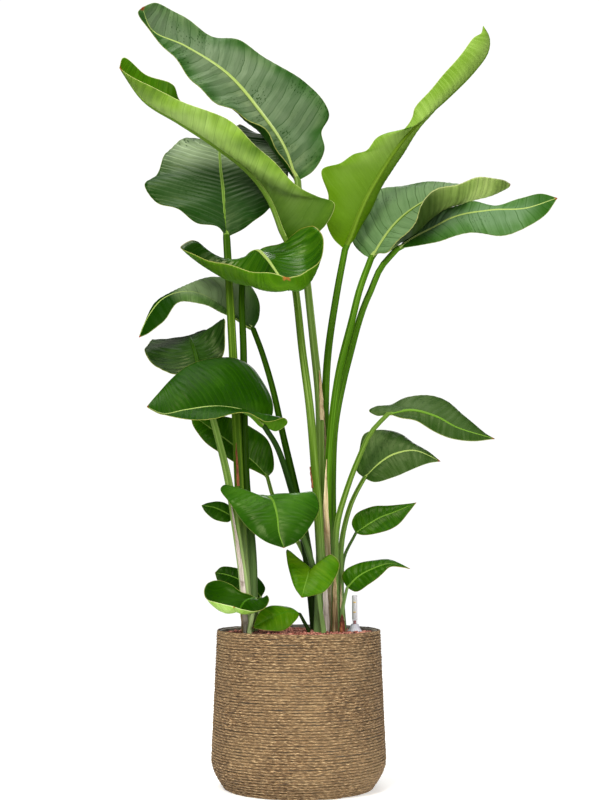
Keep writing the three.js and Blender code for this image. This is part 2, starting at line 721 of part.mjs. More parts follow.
// The blade's middle surface: rows of points from the left margin over the midrib to the right one
function bladeRows(leaf, plan) {
  const rib = curveThrough(leaf.rib.map(seen));
  const shares = [];
  for (let row = 0; row <= plan.rows; row += 1) {
    shares.push((row / plan.rows) * LAST_ROW);
  }
  const ribPoints = shares.map((t) => rib.getPointAt(t));
  const tangents = shares.map((t) => rib.getTangentAt(t));
  const [waves, height, phase] = leaf.wave;
  const halves = [
    { side: -1, margin: leaf.left, bulge: leaf.leftBulge },
    { side: 1, margin: leaf.right, bulge: leaf.rightBulge },
  ].map(({ side, margin, bulge }) => {
    const edge = curveThrough([leaf.rib[0], ...margin, leaf.rib[leaf.rib.length - 1]].map(seen));
    const edgePoints = shares.map((t) => edge.getPointAt(t));
    const ups = upwards(ribPoints, tangents, edgePoints, side);
    return shares.map((t, row) => {
      const across = edgePoints[row].clone().sub(ribPoints[row]);
      const taper = Math.sqrt(Math.sin(Math.PI * t));
      const lift = spread(bulge, t) * taper;
      const ripple = height * Math.sin(2 * Math.PI * (waves * t + phase + 0.25 * side)) * taper;
      const ribShare = Math.min(ribRadius(leaf, t) / Math.max(across.length(), 0.01), 0.25);
      return [ribShare, ...plan.columns].map((u) => {
        const rise = lift * 4 * u * (1 - u) + ripple * u * u;
        return ribPoints[row].clone().addScaledVector(across, u).addScaledVector(ups[row], rise);
      });
    });
  });
  return shares.map((t, row) => [...halves[0][row].slice().reverse(), ribPoints[row], ...halves[1][row]]);
}

function ribRadius(leaf, t) {
  return TIP_RADIUS + (leaf.stalkRadii[1] - TIP_RADIUS) * (1 - t) ** 0.8;
}

// The direction square to the surface at one of its points, from its neighbours
function surfaceNormal(rows, row, column) {
  const clampRow = (i) => Math.min(Math.max(i, 1), rows.length - 1);
  const clampColumn = (j) => Math.min(Math.max(j, 0), rows[0].length - 1);
  const along = rows[clampRow(row + 1)][column].clone().sub(rows[clampRow(row - 1)][column]);
  const here = rows[clampRow(row)];
  const across = here[clampColumn(column + 1)].clone().sub(here[clampColumn(column - 1)]);
  return across.cross(along).normalize();
}

// The petiole's rings, each with its centre, radius and two directions in its plane
function stalkRings(leaf, plan, baseUp) {
  const start = seen(leaf.stalk[0]);
  const points = [start.clone().setZ(STEM_STRAIGHT), ...leaf.stalk.slice(1).map(seen), seen(leaf.rib[0])];
  const curve = curveThrough(points);
  const steps = 60;
  const up = baseUp.clone();
  const ups = [];
  for (let step = steps; step >= 0; step -= 1) {
    const tangent = curve.getTangentAt(step / steps);
    up.addScaledVector(tangent, -up.dot(tangent)).normalize();
    ups[step] = up.clone();
  }
  const rings = [];
  const [low, high] = leaf.stalkRadii;
  for (let ring = 0; ring <= plan.rings; ring += 1) {
    const t = ring / plan.rings;
    const tangent = curve.getTangentAt(t);
    const ringUp = ups[Math.round(t * steps)];
    ringUp.addScaledVector(tangent, -ringUp.dot(tangent)).normalize();
    const side = tangent.clone().cross(ringUp);
    rings.push({ centre: curve.getPointAt(t), radius: low + (high - low) * t, side, up: ringUp });
  }
  const levelUp = rings[0].up.clone().setZ(0).normalize();
  const levelSide = new THREE.Vector3(0, 0, 1).cross(levelUp);
  const foot = { centre: start.clone().setZ(STEM_FOOT), radius: low, side: levelSide, up: levelUp };
  return [foot, { ...rings[0], side: levelSide, up: levelUp }, ...rings.slice(1)];
}

// One closed body: round rings up the petiole that open into the two wings of the blade
function leafGeometry(leaf) {
  const plan = leaf.large ? LARGE : SMALL;
  const rows = bladeRows(leaf, plan);
  const middle = plan.columns.length + 1;
  const last = 2 * middle;
  const baseUp = surfaceNormal(rows, 1, middle);
  const top = [];
  const bottom = [];
  const rings = stalkRings(leaf, plan, baseUp);
  for (const ring of rings) {
    const upper = [];
    const lower = [];
    for (let column = 0; column <= last; column += 1) {
      const turn = Math.PI * (1 - (column + 0.5) / (last + 1));
      const aside = ring.centre.clone().addScaledVector(ring.side, ring.radius * Math.cos(turn));
      upper.push(aside.clone().addScaledVector(ring.up, ring.radius * Math.sin(turn)));
      lower.push(aside.clone().addScaledVector(ring.up, -ring.radius * Math.sin(turn)));
    }
    top.push(upper);
    bottom.push(lower);
  }
  for (let row = 1; row < rows.length; row += 1) {
    const t = (row / plan.rows) * LAST_ROW;
    const upper = [];
    const lower = [];
    for (let column = 0; column <= last; column += 1) {
      const normal = surfaceNormal(rows, row, column);
      const rib = column === middle ? MIDRIB_DEPTH * ribRadius(leaf, t) : 0;
      upper.push(rows[row][column].clone().addScaledVector(normal, BLADE_THICKNESS / 2));
      lower.push(rows[row][column].clone().addScaledVector(normal, -BLADE_THICKNESS / 2 - rib));
    }
    top.push(upper);
    bottom.push(lower);
  }
  return skinned(top, bottom);
}

// Triangles over matching upper and lower rows, both faces split alike, with walls and end caps
function skinned(top, bottom) {
  const width = top[0].length;
  const points = [...top.flat(), ...bottom.flat()];
  const T = (row, column) => row * width + column;
  const B = (row, column) => (top.length + row) * width + column;
  const faces = [];
  const quad = (a, b, c, d) => faces.push([a, b, c], [a, c, d]);
  const end = top.length - 1;
  for (let row = 0; row < end; row += 1) {
    for (let column = 0; column < width - 1; column += 1) {
      quad(T(row, column), T(row, column + 1), T(row + 1, column + 1), T(row + 1, column));
      faces.push([B(row, column), B(row + 1, column + 1), B(row, column + 1)]);
      faces.push([B(row, column), B(row + 1, column), B(row + 1, column + 1)]);
    }
    quad(B(row, 0), T(row, 0), T(row + 1, 0), B(row + 1, 0));
    quad(T(row, width - 1), B(row, width - 1), B(row + 1, width - 1), T(row + 1, width - 1));
  }
  for (let column = 0; column < width - 1; column += 1) {
    quad(B(0, column), B(0, column + 1), T(0, column + 1), T(0, column));
    quad(T(end, column), T(end, column + 1), B(end, column + 1), B(end, column));
  }
  return geometryOf(points, faces);
}

const plant = new THREE.Group();

plant.add(meshOf("planter_liner", planterLiner(), COLOURS.liner, 0.6));
plant.add(meshOf("rope_wrap", ropeWrap(), COLOURS.rope, 0.95));
plant.add(meshOf("clay_fill", clayFill(), COLOURS.clay, 0.95));

const gaugeParts = [
  meshOf("gauge_tube", gaugeTube(), COLOURS.gauge, 0.2),
  meshOf("gauge_float", gaugeFloat(), COLOURS.float, 0.5),
  meshOf("gauge_cap", gaugeCap(), COLOURS.cap, 0.5),
];
gaugeParts[2].position.z = CAP_SEAT;
for (const part of gaugeParts) {
  part.position.x = GAUGE_X;
  part.position.y = GAUGE_Y;
  plant.add(part);
}

const brightLeaves = ["leaf_left_2", "leaf_left_13", "leaf_right_1", "leaf_left_11"];
for (const leaf of LEAVES) {
  const colour = brightLeaves.includes(leaf.name) ? COLOURS.leafBright : COLOURS.leafDark;
  plant.add(meshOf(leaf.name, leafGeometry(leaf), colour, 0.45));
}

export default plant;
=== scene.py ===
import math
import random

import bpy
import numpy as np
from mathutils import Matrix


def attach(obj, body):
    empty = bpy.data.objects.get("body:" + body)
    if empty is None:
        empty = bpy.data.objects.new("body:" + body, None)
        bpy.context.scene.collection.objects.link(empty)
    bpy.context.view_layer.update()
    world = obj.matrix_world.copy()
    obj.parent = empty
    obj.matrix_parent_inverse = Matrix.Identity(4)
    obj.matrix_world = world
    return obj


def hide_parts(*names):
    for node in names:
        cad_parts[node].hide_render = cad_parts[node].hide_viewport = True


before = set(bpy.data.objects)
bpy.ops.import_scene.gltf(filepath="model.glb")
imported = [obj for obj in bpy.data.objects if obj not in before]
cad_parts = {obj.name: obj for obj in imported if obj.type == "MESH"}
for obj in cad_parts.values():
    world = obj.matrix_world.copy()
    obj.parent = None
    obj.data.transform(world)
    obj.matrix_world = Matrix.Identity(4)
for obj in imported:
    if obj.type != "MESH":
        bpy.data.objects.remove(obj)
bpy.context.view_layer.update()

# Sizes are in millimetres, as in the part's source, and turned to metres where a mesh is made.
MM = 0.001

# The planter and its filling
PLANTER_HEIGHT = 311
RIM_RADIUS = 165
BELLY_RADIUS = 175
BELLY_HEIGHT = 58
FOOT_RADIUS = 148
ROPE_THICKNESS = 6
LINER_WALL = 3
LINER_FLOOR = 4
LINER_LIP_DROP = 1.5
LINER_HEIGHTS = (2, 12, 24, 40, BELLY_HEIGHT, 120, 180, 250)
GAP = 0.3
CLAY_LEVEL = 299
CLAY_DOME = 4

# The rope: one length wound as a spiral, each turn resting on the one below. From step to step its
# thickness and place are uneven, and its height also wanders slowly, over ROPE_WANDER steps.
ROPE_RADIUS = 2.8
ROPE_PITCH = 5.5
ROPE_STEPS_PER_TURN = 144
ROPE_SIDES = 8
ROPE_UNEVEN = 0.35
ROPE_WANDER = 14
ROPE_SEED = 5
ROPE_FOOT_CLEARANCE = 0.2

# The baked clay granules, laid in shifted rows and then scattered
GRAIN_SIZES = (2.6, 4.0)
GRAIN_SPACING = 7.0
GRAIN_ROW_SHARE = 0.87
GRAIN_SHIFT = 0.28
GRAIN_STRETCH = (0.8, 1.15)
GRAIN_KNOBS = 5
GRAIN_KNOB_HEIGHT = 0.10
GRAIN_KNOB_RATE = 1.9
GRAIN_LIFT = 2.5
GRAIN_SCATTER = (-1.2, 1.5)
GRAIN_OVERLAP = 0.8
GRAIN_WALL_GAP = 2
GRAIN_SEED = 11

# The water gauge. Its tube is clear over the float's tip and milky from CLEAR_BAND above it.
GAUGE_X = 115
GAUGE_Y = 45
GAUGE_BOTTOM = 30
GAUGE_TOP = 377
GAUGE_RADIUS = 5.5
GAUGE_WALL = 1.5
GAUGE_LID = 3
FLOAT_RADIUS = 3.2
FLOAT_TOP = 326
CLEAR_BAND = 4
MARK_HEIGHTS = (343, 363)
MARK_ARC = (math.radians(-122), math.radians(-66))
CAP_RADIUS = 16
CAP_HEIGHT = 17
CAP_BRIM = 2
CAP_SEAT = 302
CAP_SHOULDER_RADIUS = 11
CAP_SHOULDER_HEIGHT = 8
CAP_BORE_GAP = 0.4

# How many sides the turned pieces have, a mark's over its own arc
LINER_SIDES = 96
GAUGE_SIDES = 40
MARK_SIDES = 16
FLOAT_SIDES = 32
CAP_SIDES = 48
FLOOR_SIDES = 64

# Leaf build. Counts of rows and columns are for a large leaf (True) and for a small one (False).
STEM_FOOT = 245
STEM_STRAIGHT = 312
BLADE_THICKNESS = 1.0
TIP_RADIUS = 0.7
LAST_ROW = 0.985
FORM_ROWS = {True: 11, False: 7}
FINE_ROWS = {True: 176, False: 96}
FINE_COLUMNS = {True: 44, False: 28}
STALK_ROWS = {True: 40, False: 22}
RIB_ROWS = {True: 60, False: 36}
STALK_SIDES = 20
CURVE_STEPS = 24
DIRECTION_REACH = 0.006
MERGE_DISTANCE = 0.02

# Leaf relief: pleats between the side veins, higher on two leaves, that wander along the leaf, and a
# slow sway. Both fade where the blade is narrower than NARROW_BLADE. Each leaf starts at its own phase.
PLEAT_PITCH = 14.0
PLEAT_HEIGHT = 0.45
PLEATS = {"leaf_left_4": 0.9, "leaf_left_6": 0.8}
PLEAT_WANDER = 0.6
PLEAT_WANDER_RATE = 19
SWAY_HEIGHT = 1.3
SWAY_LENGTH = 83
NARROW_BLADE = 60
VEIN_SWEEP = 0.4
PHASE_STEP = 1.7

# A petiole's channel, and the midrib's flat band over the blade and keel under it, as shares of the
# stalk's radius. The two lifts are in millimetres, and so is the way round a stalk for each radian.
CHANNEL_DEPTH = 0.26
CHANNEL_WIDTH = 0.42
BAND_WIDTH = 0.62
BAND_HEIGHT = 0.10
BAND_DIP_WIDTH = 0.4
KEEL_WIDTH = 0.8
KEEL_DEPTH = 1.35
BAND_LIFT = 0.75
KEEL_LIFT = -0.2
ROUND_WAY = 7

# The finishes that a leaf's faces take, in the order of its materials
UPPER, UNDER, MARGIN, STALK, MIDRIB, KEEL = range(6)

# The channel on a petiole's upper side, painted dark as shadow, and the ridges beside it, painted
# light as highlights, in metres round the petiole
GROOVE_MIDDLE = 0.011
GROOVE_RIDGE = 0.0043

# How often a pattern comes in a metre, first along a leaf, stalk, sheath or rope, then across or
# round it: a leaf's streaks are 14 mm apart, its fine veins 3 mm, the fibres of a stalk, a sheath
# and the rope about 1.5 mm, coarser than real ones so that they show
LEAF_STREAKS = (70, 6, 1)
LEAF_FINE_VEINS = (330, 9, 1)
LEAF_SPECKS = (170, 80, 1)
STALK_STREAKS = (5, 620, 1)
SHEATH_FIBRES = (9, 700, 1)
ROPE_FIBRES = (105, 620, 1)
ROPE_TONES = (40, 60, 1)
ROPE_FIBRE_SLANT = math.radians(9)

# Leaf wax gives back the lamps' light a little yellower and greener than it came
WAX_TINT = "#dcecac"
SPECK_TONE = "#16330c"

# Dry sheaths: they narrow to a ragged point, their sides curl away, and they ripple
SHEATH_ROWS = 60
SHEATH_COLUMNS = 13
SHEATH_LINE_STEPS = 200
SHEATH_LIFT = 0.7
SHEATH_THICKNESS = 0.6
SHEATH_TAPER = 2.2
SHEATH_RAGGED = 0.16
SHEATH_RAGGED_RATE = 31
SHEATH_CURL = 1.6
SHEATH_RIPPLE = 0.4
SHEATH_RIPPLE_RATE = 23

# The point that the leaves' points are seen from, and the photograph's camera, which stands there
EYE = np.array([2.6, -2800.0, 487.0])
CAMERA_PITCH = math.radians(5.9)
FOCAL_PIXELS = 1370
IMAGE_HEIGHT = 800
SENSOR_SIZE = 36.0
FAR_LIMIT = 30

# The studio: a round floor just under the planter, and softboxes as name, place, aim and size in
# metres, watts and colour
FLOOR_RADIUS = 2600
FLOOR_LEVEL = -0.2
LIGHTS = [
    ("key_softbox", (-1.4, -2.7, 3.2), (0, 0, 0.9), (1.6, 1.6), 162, "#fffaf0"),
    ("fill_softbox", (2.2, -3.0, 1.3), (0, 0, 0.7), (1.6, 1.6), 67, "#fffcf6"),
    ("top_softbox", (-0.4, -0.3, 4.0), (0, 0, 1.0), (2.0, 1.6), 62, "#ffffff"),
    ("low_softbox", (0.2, -3.4, 0.8), (0, 0, 0.35), (1.2, 1.0), 24, "#ffffff"),
    ("back_softbox", (0.8, 3.0, 2.8), (0, 0, 0.8), (1.8, 1.8), 40, "#ffffff"),
    ("floor_wash", (0, 0.6, 5.0), (0, 0.6, 0), (4.0, 4.0), 60, "#ffffff"),
]

# Each leaf: its petiole from the clay up, its midrib from base to tip and its two margins, left and
# right as one looks from base to tip at the upper face. A point is x and height on the upright plane
# through the planter's axis, then the depth to which it is moved along the line of sight.
LEAVES = [
    {
        "name": "leaf_left_1",
        "large": True,
        "stalk": [
            [40, 306, 68], [44, 450, 66], [44, 612, 64], [42, 776, 66], [30, 900, 75],
            [18, 1016, 86], [6, 1132, 96],
        ],
        "stalk_radii": [10, 7.5],
        "rib": [
            [-2, 1236, 105], [-28, 1310, 108], [-78, 1384, 115], [-150, 1468, 125],
            [-240, 1528, 130], [-310, 1562, 118], [-332, 1612, 95],
        ],
        "left": [
            [-22, 1268, 82], [-78, 1352, 72], [-134, 1384, 85], [-198, 1424, 98], [-268, 1508, 112],
            [-320, 1566, 108], [-340, 1602, 92],
        ],
        "left_bulge": [-25, -28, -12, -4, 0],
        "right": [
            [30, 1258, 92], [54, 1302, 105], [48, 1342, 118], [64, 1380, 128], [14, 1450, 142],
            [-44, 1484, 150], [-124, 1538, 156], [-182, 1550, 156], [-252, 1596, 146],
            [-300, 1622, 122],
        ],
        "right_bulge": [0, 0, 0, 0, 10],
        "wave": [6, 4, 0.1],
    },
    {
        "name": "leaf_left_2",
        "large": True,
        "stalk": [[52, 306, 8], [46, 450, 10], [36, 612, 14], [24, 756, 20], [8, 880, 30], [-6, 1006, 42]],
        "stalk_radii": [11, 8],
        "rib": [
            [-24, 1110, 50], [-60, 1200, 38], [-102, 1256, 18], [-176, 1314, -20], [-250, 1362, -55],
            [-324, 1408, -88], [-378, 1480, -112],
        ],
        "left": [
            [12, 1110, 25], [56, 1142, 0], [74, 1188, -15], [40, 1202, -15], [6, 1222, -15],
            [-50, 1272, -28], [-124, 1348, -55], [-190, 1388, -82], [-254, 1410, -100],
            [-314, 1442, -118], [-356, 1464, -122],
        ],
        "left_bulge": [-12, -14, -14, -12, -6],
        "right": [
            [-4, 1150, 64], [-18, 1196, 70], [-56, 1256, 68], [-124, 1322, 45], [-196, 1374, 5],
            [-250, 1410, -30], [-266, 1442, -50], [-324, 1468, -78], [-370, 1502, -100],
        ],
        "right_bulge": [-6, -10, -10, -8, -4],
        "wave": [5, 3, 0.3],
    },
    {
        "name": "leaf_left_3",
        "large": True,
        "stalk": [
            [-92, 306, 25], [-94, 450, 26], [-108, 612, 28], [-112, 736, 30], [-114, 880, 34],
            [-118, 984, 38],
        ],
        "stalk_radii": [10, 6.5],
        "rib": [
            [-116, 1044, 40], [-108, 1074, 20], [-88, 1090, -12], [-68, 1074, -50], [-48, 1046, -84],
            [-28, 1016, -112], [-20, 1006, -134], [-26, 1032, -152],
        ],
        "left": [
            [-76, 1092, 22], [-28, 1110, 12], [8, 1132, -2], [32, 1142, -22], [52, 1110, -60],
            [44, 1072, -95], [8, 1038, -126], [-14, 1034, -145],
        ],
        "left_bulge": [-5, -14, -32, -36, -28],
        "right": [
            [-138, 1070, 34], [-162, 1060, 30], [-182, 1054, 27], [-194, 1090, 30], [-220, 1110, 20],
            [-246, 1098, 0], [-206, 1074, -40], [-160, 1062, -80], [-102, 1046, -118],
            [-60, 1042, -140],
        ],
        "right_bulge": [-5, -24, -52, -38, -26],
        "wave": [4, 3, 0.0],
    },
    {
        "name": "leaf_left_4",
        "large": True,
        "stalk": [
            [-102, 306, -2], [-112, 450, 0], [-122, 612, 6], [-128, 736, 12], [-136, 880, 26],
            [-144, 1016, 48],
        ],
        "stalk_radii": [11, 8],
        "rib": [
            [-150, 1116, 72], [-154, 1164, 80], [-158, 1218, 92], [-164, 1270, 112],
            [-162, 1320, 150], [-124, 1358, 205],
        ],
        "left": [
            [-168, 1138, 62], [-210, 1146, 56], [-248, 1174, 58], [-294, 1190, 64], [-322, 1226, 78],
            [-296, 1254, 95], [-278, 1294, 125], [-248, 1324, 150], [-192, 1328, 180],
        ],
        "left_bulge": [6, 6, 4, 0, 0],
        "right": [
            [-110, 1138, 82], [-68, 1172, 95], [-34, 1212, 120], [-22, 1256, 142], [-32, 1296, 165],
            [-78, 1334, 190],
        ],
        "right_bulge": [6, 6, 4, 0, 0],
        "wave": [6, 4, 0.0],
    },
    {
        "name": "leaf_left_5",
        "large": True,
        "stalk": [
            [36, 306, 45], [28, 410, 50], [12, 510, 56], [-8, 602, 64], [-32, 704, 74],
            [-54, 802, 84], [-76, 876, 90],
        ],
        "stalk_radii": [9, 6],
        "rib": [
            [-94, 924, 92], [-130, 950, 88], [-188, 990, 64], [-234, 1002, 36], [-282, 986, 14],
            [-312, 948, 2], [-330, 906, -4],
        ],
        "left": [
            [-108, 930, 76], [-130, 944, 66], [-158, 958, 62], [-192, 972, 38], [-226, 982, 12],
            [-252, 976, -6], [-280, 940, -16], [-308, 916, -12],
        ],
        "left_bulge": [6, 6, 6, 4, 0],
        "right": [
            [-82, 948, 112], [-82, 980, 125], [-108, 1020, 130], [-146, 1032, 125],
            [-188, 1030, 108], [-226, 1014, 78], [-262, 998, 45], [-298, 978, 20], [-318, 938, 5],
        ],
        "right_bulge": [8, 8, 8, 4, 0],
        "wave": [4, 2, 0.0],
    },
    {
        "name": "leaf_left_6",
        "large": True,
        "stalk": [
            [-104, 306, -30], [-112, 410, -28], [-130, 530, -26], [-146, 622, -26], [-176, 738, -32],
            [-194, 802, -33],
        ],
        "stalk_radii": [10, 6],
        "rib": [
            [-206, 842, -24], [-212, 870, -6], [-220, 894, 20], [-228, 908, 65], [-238, 906, 115],
            [-254, 894, 155],
        ],
        "left": [
            [-236, 830, -26], [-276, 836, -20], [-306, 856, -5], [-318, 880, 15], [-306, 898, 50],
            [-282, 900, 100],
        ],
        "left_bulge": [-4, -6, -4, 0, 0],
        "right": [
            [-178, 842, -4], [-156, 870, 6], [-152, 912, 12], [-154, 946, 20], [-176, 928, 66],
            [-212, 914, 118],
        ],
        "right_bulge": [-6, -10, -6, 0, 0],
        "wave": [5, 2, 0.2],
    },
    {
        "name": "leaf_left_7",
        "large": True,
        "stalk": [[32, 306, 26], [24, 390, 21], [8, 504, 0], [-16, 598, -24], [-44, 680, -46]],
        "stalk_radii": [9, 6],
        "rib": [
            [-70, 722, -62], [-104, 752, -76], [-166, 764, -92], [-234, 756, -108],
            [-278, 748, -116], [-312, 762, -116],
        ],
        "left": [
            [-46, 712, -62], [-24, 726, -70], [-30, 738, -88], [-64, 734, -104], [-104, 748, -116],
            [-172, 740, -130], [-234, 736, -136], [-284, 748, -130],
        ],
        "left_bulge": [0, 0, 0, 0, 0],
        "right": [
            [-54, 748, -42], [-56, 780, -26], [-76, 818, -16], [-100, 846, -12], [-138, 864, -14],
            [-188, 862, -22], [-228, 846, -38], [-264, 818, -60], [-296, 782, -92],
        ],
        "right_bulge": [6, 14, 14, 10, 4],
        "wave": [3, 2, 0.0],
    },
    {
        "name": "leaf_left_8",
        "large": False,
        "stalk": [[38, 306, 93], [32, 370, 92], [12, 458, 90], [-14, 508, 88], [-50, 572, 85]],
        "stalk_radii": [6, 4],
        "rib": [[-64, 618, 88], [-84, 640, 84], [-130, 680, 76], [-178, 716, 68], [-220, 746, 60]],
        "left": [[-90, 630, 76], [-130, 648, 68], [-166, 670, 62], [-196, 694, 58], [-218, 726, 56]],
        "left_bulge": [3, 3, 3],
        "right": [[-52, 632, 96], [-52, 662, 102], [-68, 698, 104], [-106, 726, 96], [-162, 744, 78]],
        "right_bulge": [3, 3, 3],
        "wave": [3, 2, 0.0],
    },
    {
        "name": "leaf_left_9",
        "large": True,
        "stalk": [[38, 306, -12], [38, 390, -16], [22, 460, -24], [-6, 526, -34], [-42, 560, -44]],
        "stalk_radii": [8, 5],
        "rib": [
            [-62, 572, -52], [-62, 580, -68], [-52, 568, -88], [-44, 540, -106], [-40, 504, -124],
            [-30, 474, -138],
        ],
        "left": [
            [-30, 580, -44], [2, 584, -48], [30, 586, -56], [42, 556, -78], [24, 518, -102],
            [-4, 486, -126],
        ],
        "left_bulge": [4, 8, 8, 4],
        "right": [
            [-96, 576, -42], [-126, 576, -42], [-136, 588, -46], [-150, 604, -52], [-160, 594, -64],
            [-136, 558, -92], [-104, 516, -116], [-70, 488, -132],
        ],
        "right_bulge": [4, 8, 8, 4],
        "wave": [3, 2, 0.5],
    },
    {
        "name": "leaf_left_10",
        "large": False,
        "stalk": [[-110, 306, 52], [-114, 390, 50], [-122, 466, 46], [-126, 508, 42]],
        "stalk_radii": [5, 3.5],
        "rib": [[-134, 536, 38], [-150, 546, 38], [-172, 556, 37], [-198, 560, 36]],
        "left": [[-144, 526, 30], [-172, 532, 29], [-190, 546, 31]],
        "left_bulge": [2, 2],
        "right": [[-142, 560, 46], [-164, 568, 45], [-184, 566, 42]],
        "right_bulge": [2, 2],
        "wave": [2, 1, 0.0],
    },
    {
        "name": "leaf_left_11",
        "large": False,
        "stalk": [[-100, 302, -52], [-94, 338, -52]],
        "stalk_radii": [5, 3.5],
        "rib": [
            [-88, 374, -48], [-98, 372, -62], [-110, 366, -78], [-118, 354, -92], [-124, 346, -104],
            [-130, 356, -118],
        ],
        "left": [
            [-72, 374, -44], [-64, 378, -54], [-60, 368, -70], [-70, 352, -88], [-90, 346, -102],
            [-110, 350, -112],
        ],
        "left_bulge": [-3, -6, -8, -5],
        "right": [
            [-98, 380, -54], [-116, 386, -52], [-138, 402, -44], [-162, 408, -40], [-184, 402, -52],
            [-192, 386, -72], [-186, 372, -90], [-168, 366, -102], [-148, 360, -112],
        ],
        "right_bulge": [-4, -10, -16, -14],
        "wave": [2, 1, 0.0],
    },
    {
        "name": "leaf_left_12",
        "large": False,
        "stalk": [[-92, 306, 58], [-80, 342, 66]],
        "stalk_radii": [4.5, 3],
        "rib": [[-76, 374, 70], [-92, 392, 72], [-120, 410, 74], [-146, 420, 76], [-170, 424, 78]],
        "left": [[-90, 374, 62], [-128, 384, 62], [-162, 404, 66]],
        "left_bulge": [2, 2],
        "right": [[-68, 394, 84], [-84, 416, 88], [-120, 432, 86], [-156, 436, 82]],
        "right_bulge": [2, 2],
        "wave": [2, 1, 0.0],
    },
    {
        "name": "leaf_left_13",
        "large": False,
        "stalk": [[20, 302, -38], [14, 320, -37]],
        "stalk_radii": [4, 3],
        "rib": [[2, 342, -36], [-20, 346, -40], [-46, 338, -48], [-70, 326, -58], [-92, 314, -64]],
        "left": [[-6, 328, -52], [-28, 310, -62], [-62, 308, -68], [-86, 312, -66]],
        "left_bulge": [2, 3, 2],
        "right": [[-16, 354, -28], [-40, 358, -32], [-62, 356, -40], [-80, 344, -50]],
        "right_bulge": [2, 2],
        "wave": [2, 1, 0.0],
    },
    {
        "name": "leaf_left_14",
        "large": False,
        "stalk": [[50, 306, -30], [44, 346, -36], [38, 390, -46]],
        "stalk_radii": [5.5, 4],
        "rib": [[30, 428, -58], [22, 428, -68], [16, 410, -80], [10, 390, -88], [6, 374, -92]],
        "left": [
            [48, 446, -50], [64, 460, -52], [82, 444, -62], [76, 418, -76], [52, 386, -90],
            [26, 378, -93],
        ],
        "left_bulge": [3, 5, 3],
        "right": [[2, 452, -52], [-24, 470, -46], [-24, 450, -60], [-18, 424, -74], [-8, 394, -88]],
        "right_bulge": [3, 5, 3],
        "wave": [2, 1, 0.0],
    },
    {
        "name": "leaf_right_1",
        "large": True,
        "stalk": [[62, 306, 84], [60, 450, 88], [56, 612, 92], [54, 746, 88], [60, 870, 76], [78, 994, 62]],
        "stalk_radii": [10, 7],
        "rib": [
            [96, 1090, 50], [134, 1186, 46], [172, 1256, 46], [216, 1322, 50], [256, 1366, 58],
            [310, 1414, 74], [368, 1472, 78], [398, 1514, 66], [402, 1546, 57], [390, 1572, 50],
        ],
        "left": [
            [118, 1116, 66], [146, 1168, 78], [182, 1238, 84], [222, 1302, 84], [264, 1366, 86],
            [302, 1408, 96], [334, 1440, 100], [360, 1480, 94], [384, 1518, 80], [396, 1546, 64],
        ],
        "left_bulge": [-6, -8, -6, 0, 0],
        "right": [
            [70, 1116, 38], [56, 1156, 32], [62, 1204, 26], [48, 1260, 24], [86, 1274, 26],
            [116, 1294, 28], [142, 1302, 29], [162, 1328, 31], [188, 1340, 34], [216, 1344, 38],
            [238, 1370, 40], [246, 1396, 42], [298, 1456, 46], [344, 1512, 48], [370, 1546, 50],
            [386, 1556, 50],
        ],
        "right_bulge": [-6, -8, -6, -20, -26, -14],
        "wave": [5, 2, 0.0],
    },
    {
        "name": "leaf_right_2",
        "large": True,
        "stalk": [
            [66, 306, 38], [62, 450, 34], [60, 612, 22], [68, 724, 12], [84, 838, 14],
            [110, 942, 22], [126, 1006, 30],
        ],
        "stalk_radii": [10, 7],
        "rib": [
            [150, 1072, 48], [168, 1104, 50], [192, 1138, 54], [220, 1166, 58], [258, 1192, 62],
            [316, 1218, 70], [378, 1224, 80], [442, 1230, 86],
        ],
        "left": [
            [132, 1082, 66], [112, 1108, 92], [118, 1152, 112], [134, 1188, 120], [170, 1218, 126],
            [222, 1228, 128], [296, 1234, 124], [354, 1230, 110], [410, 1230, 96],
        ],
        "left_bulge": [4, 4, 2, 0],
        "right": [
            [164, 1082, 26], [182, 1086, -6], [204, 1106, -30], [228, 1126, -42], [242, 1150, -50],
            [254, 1186, -56], [290, 1218, -50], [336, 1232, -34], [382, 1244, -4], [424, 1240, 44],
        ],
        "right_bulge": [-6, -24, -40, -40, -44, -34],
        "wave": [4, 2, 0.0],
    },
    {
        "name": "leaf_right_3",
        "large": True,
        "stalk": [
            [76, 306, 58], [70, 450, 58], [68, 612, 56], [74, 724, 55], [92, 818, 58],
            [108, 880, 60], [122, 932, 64], [136, 974, 64], [150, 1006, 60], [170, 1052, 52],
        ],
        "stalk_radii": [10, 6.5],
        "rib": [
            [204, 1092, 40], [236, 1114, 34], [274, 1134, 22], [326, 1160, 2], [398, 1174, -26],
            [472, 1178, -46], [540, 1200, -56],
        ],
        "left": [
            [216, 1104, 60], [236, 1126, 72], [256, 1150, 80], [282, 1170, 72], [306, 1176, 46],
            [336, 1184, 18], [364, 1194, -2], [414, 1184, -18], [462, 1198, -28], [504, 1210, -40],
        ],
        "left_bulge": [2, 2, 2, 0],
        "right": [
            [228, 1096, 28], [262, 1102, 8], [298, 1108, -8], [356, 1128, -32], [418, 1118, -60],
            [460, 1132, -66], [514, 1164, -64],
        ],
        "right_bulge": [4, 6, 4, 0],
        "wave": [3, 2, 0.2],
    },
    {
        "name": "leaf_right_4",
        "large": False,
        "stalk": [
            [74, 306, 10], [74, 410, 8], [78, 520, 2], [98, 592, -4], [124, 660, -12],
            [150, 712, -18],
        ],
        "stalk_radii": [8, 4.5],
        "rib": [[184, 748, -24], [232, 756, -36], [284, 742, -48], [324, 720, -56], [402, 696, -66]],
        "left": [
            [162, 744, -20], [144, 754, -12], [158, 762, -6], [188, 766, -4], [218, 782, 0],
            [260, 786, -8], [304, 774, -20], [342, 742, -38], [382, 708, -56],
        ],
        "left_bulge": [-2, 3, 4, 2],
        "right": [[208, 740, -42], [238, 734, -52], [274, 714, -62], [314, 696, -70], [360, 692, -70]],
        "right_bulge": [-3, -3, 0, 0],
        "wave": [3, 1, 0.0],
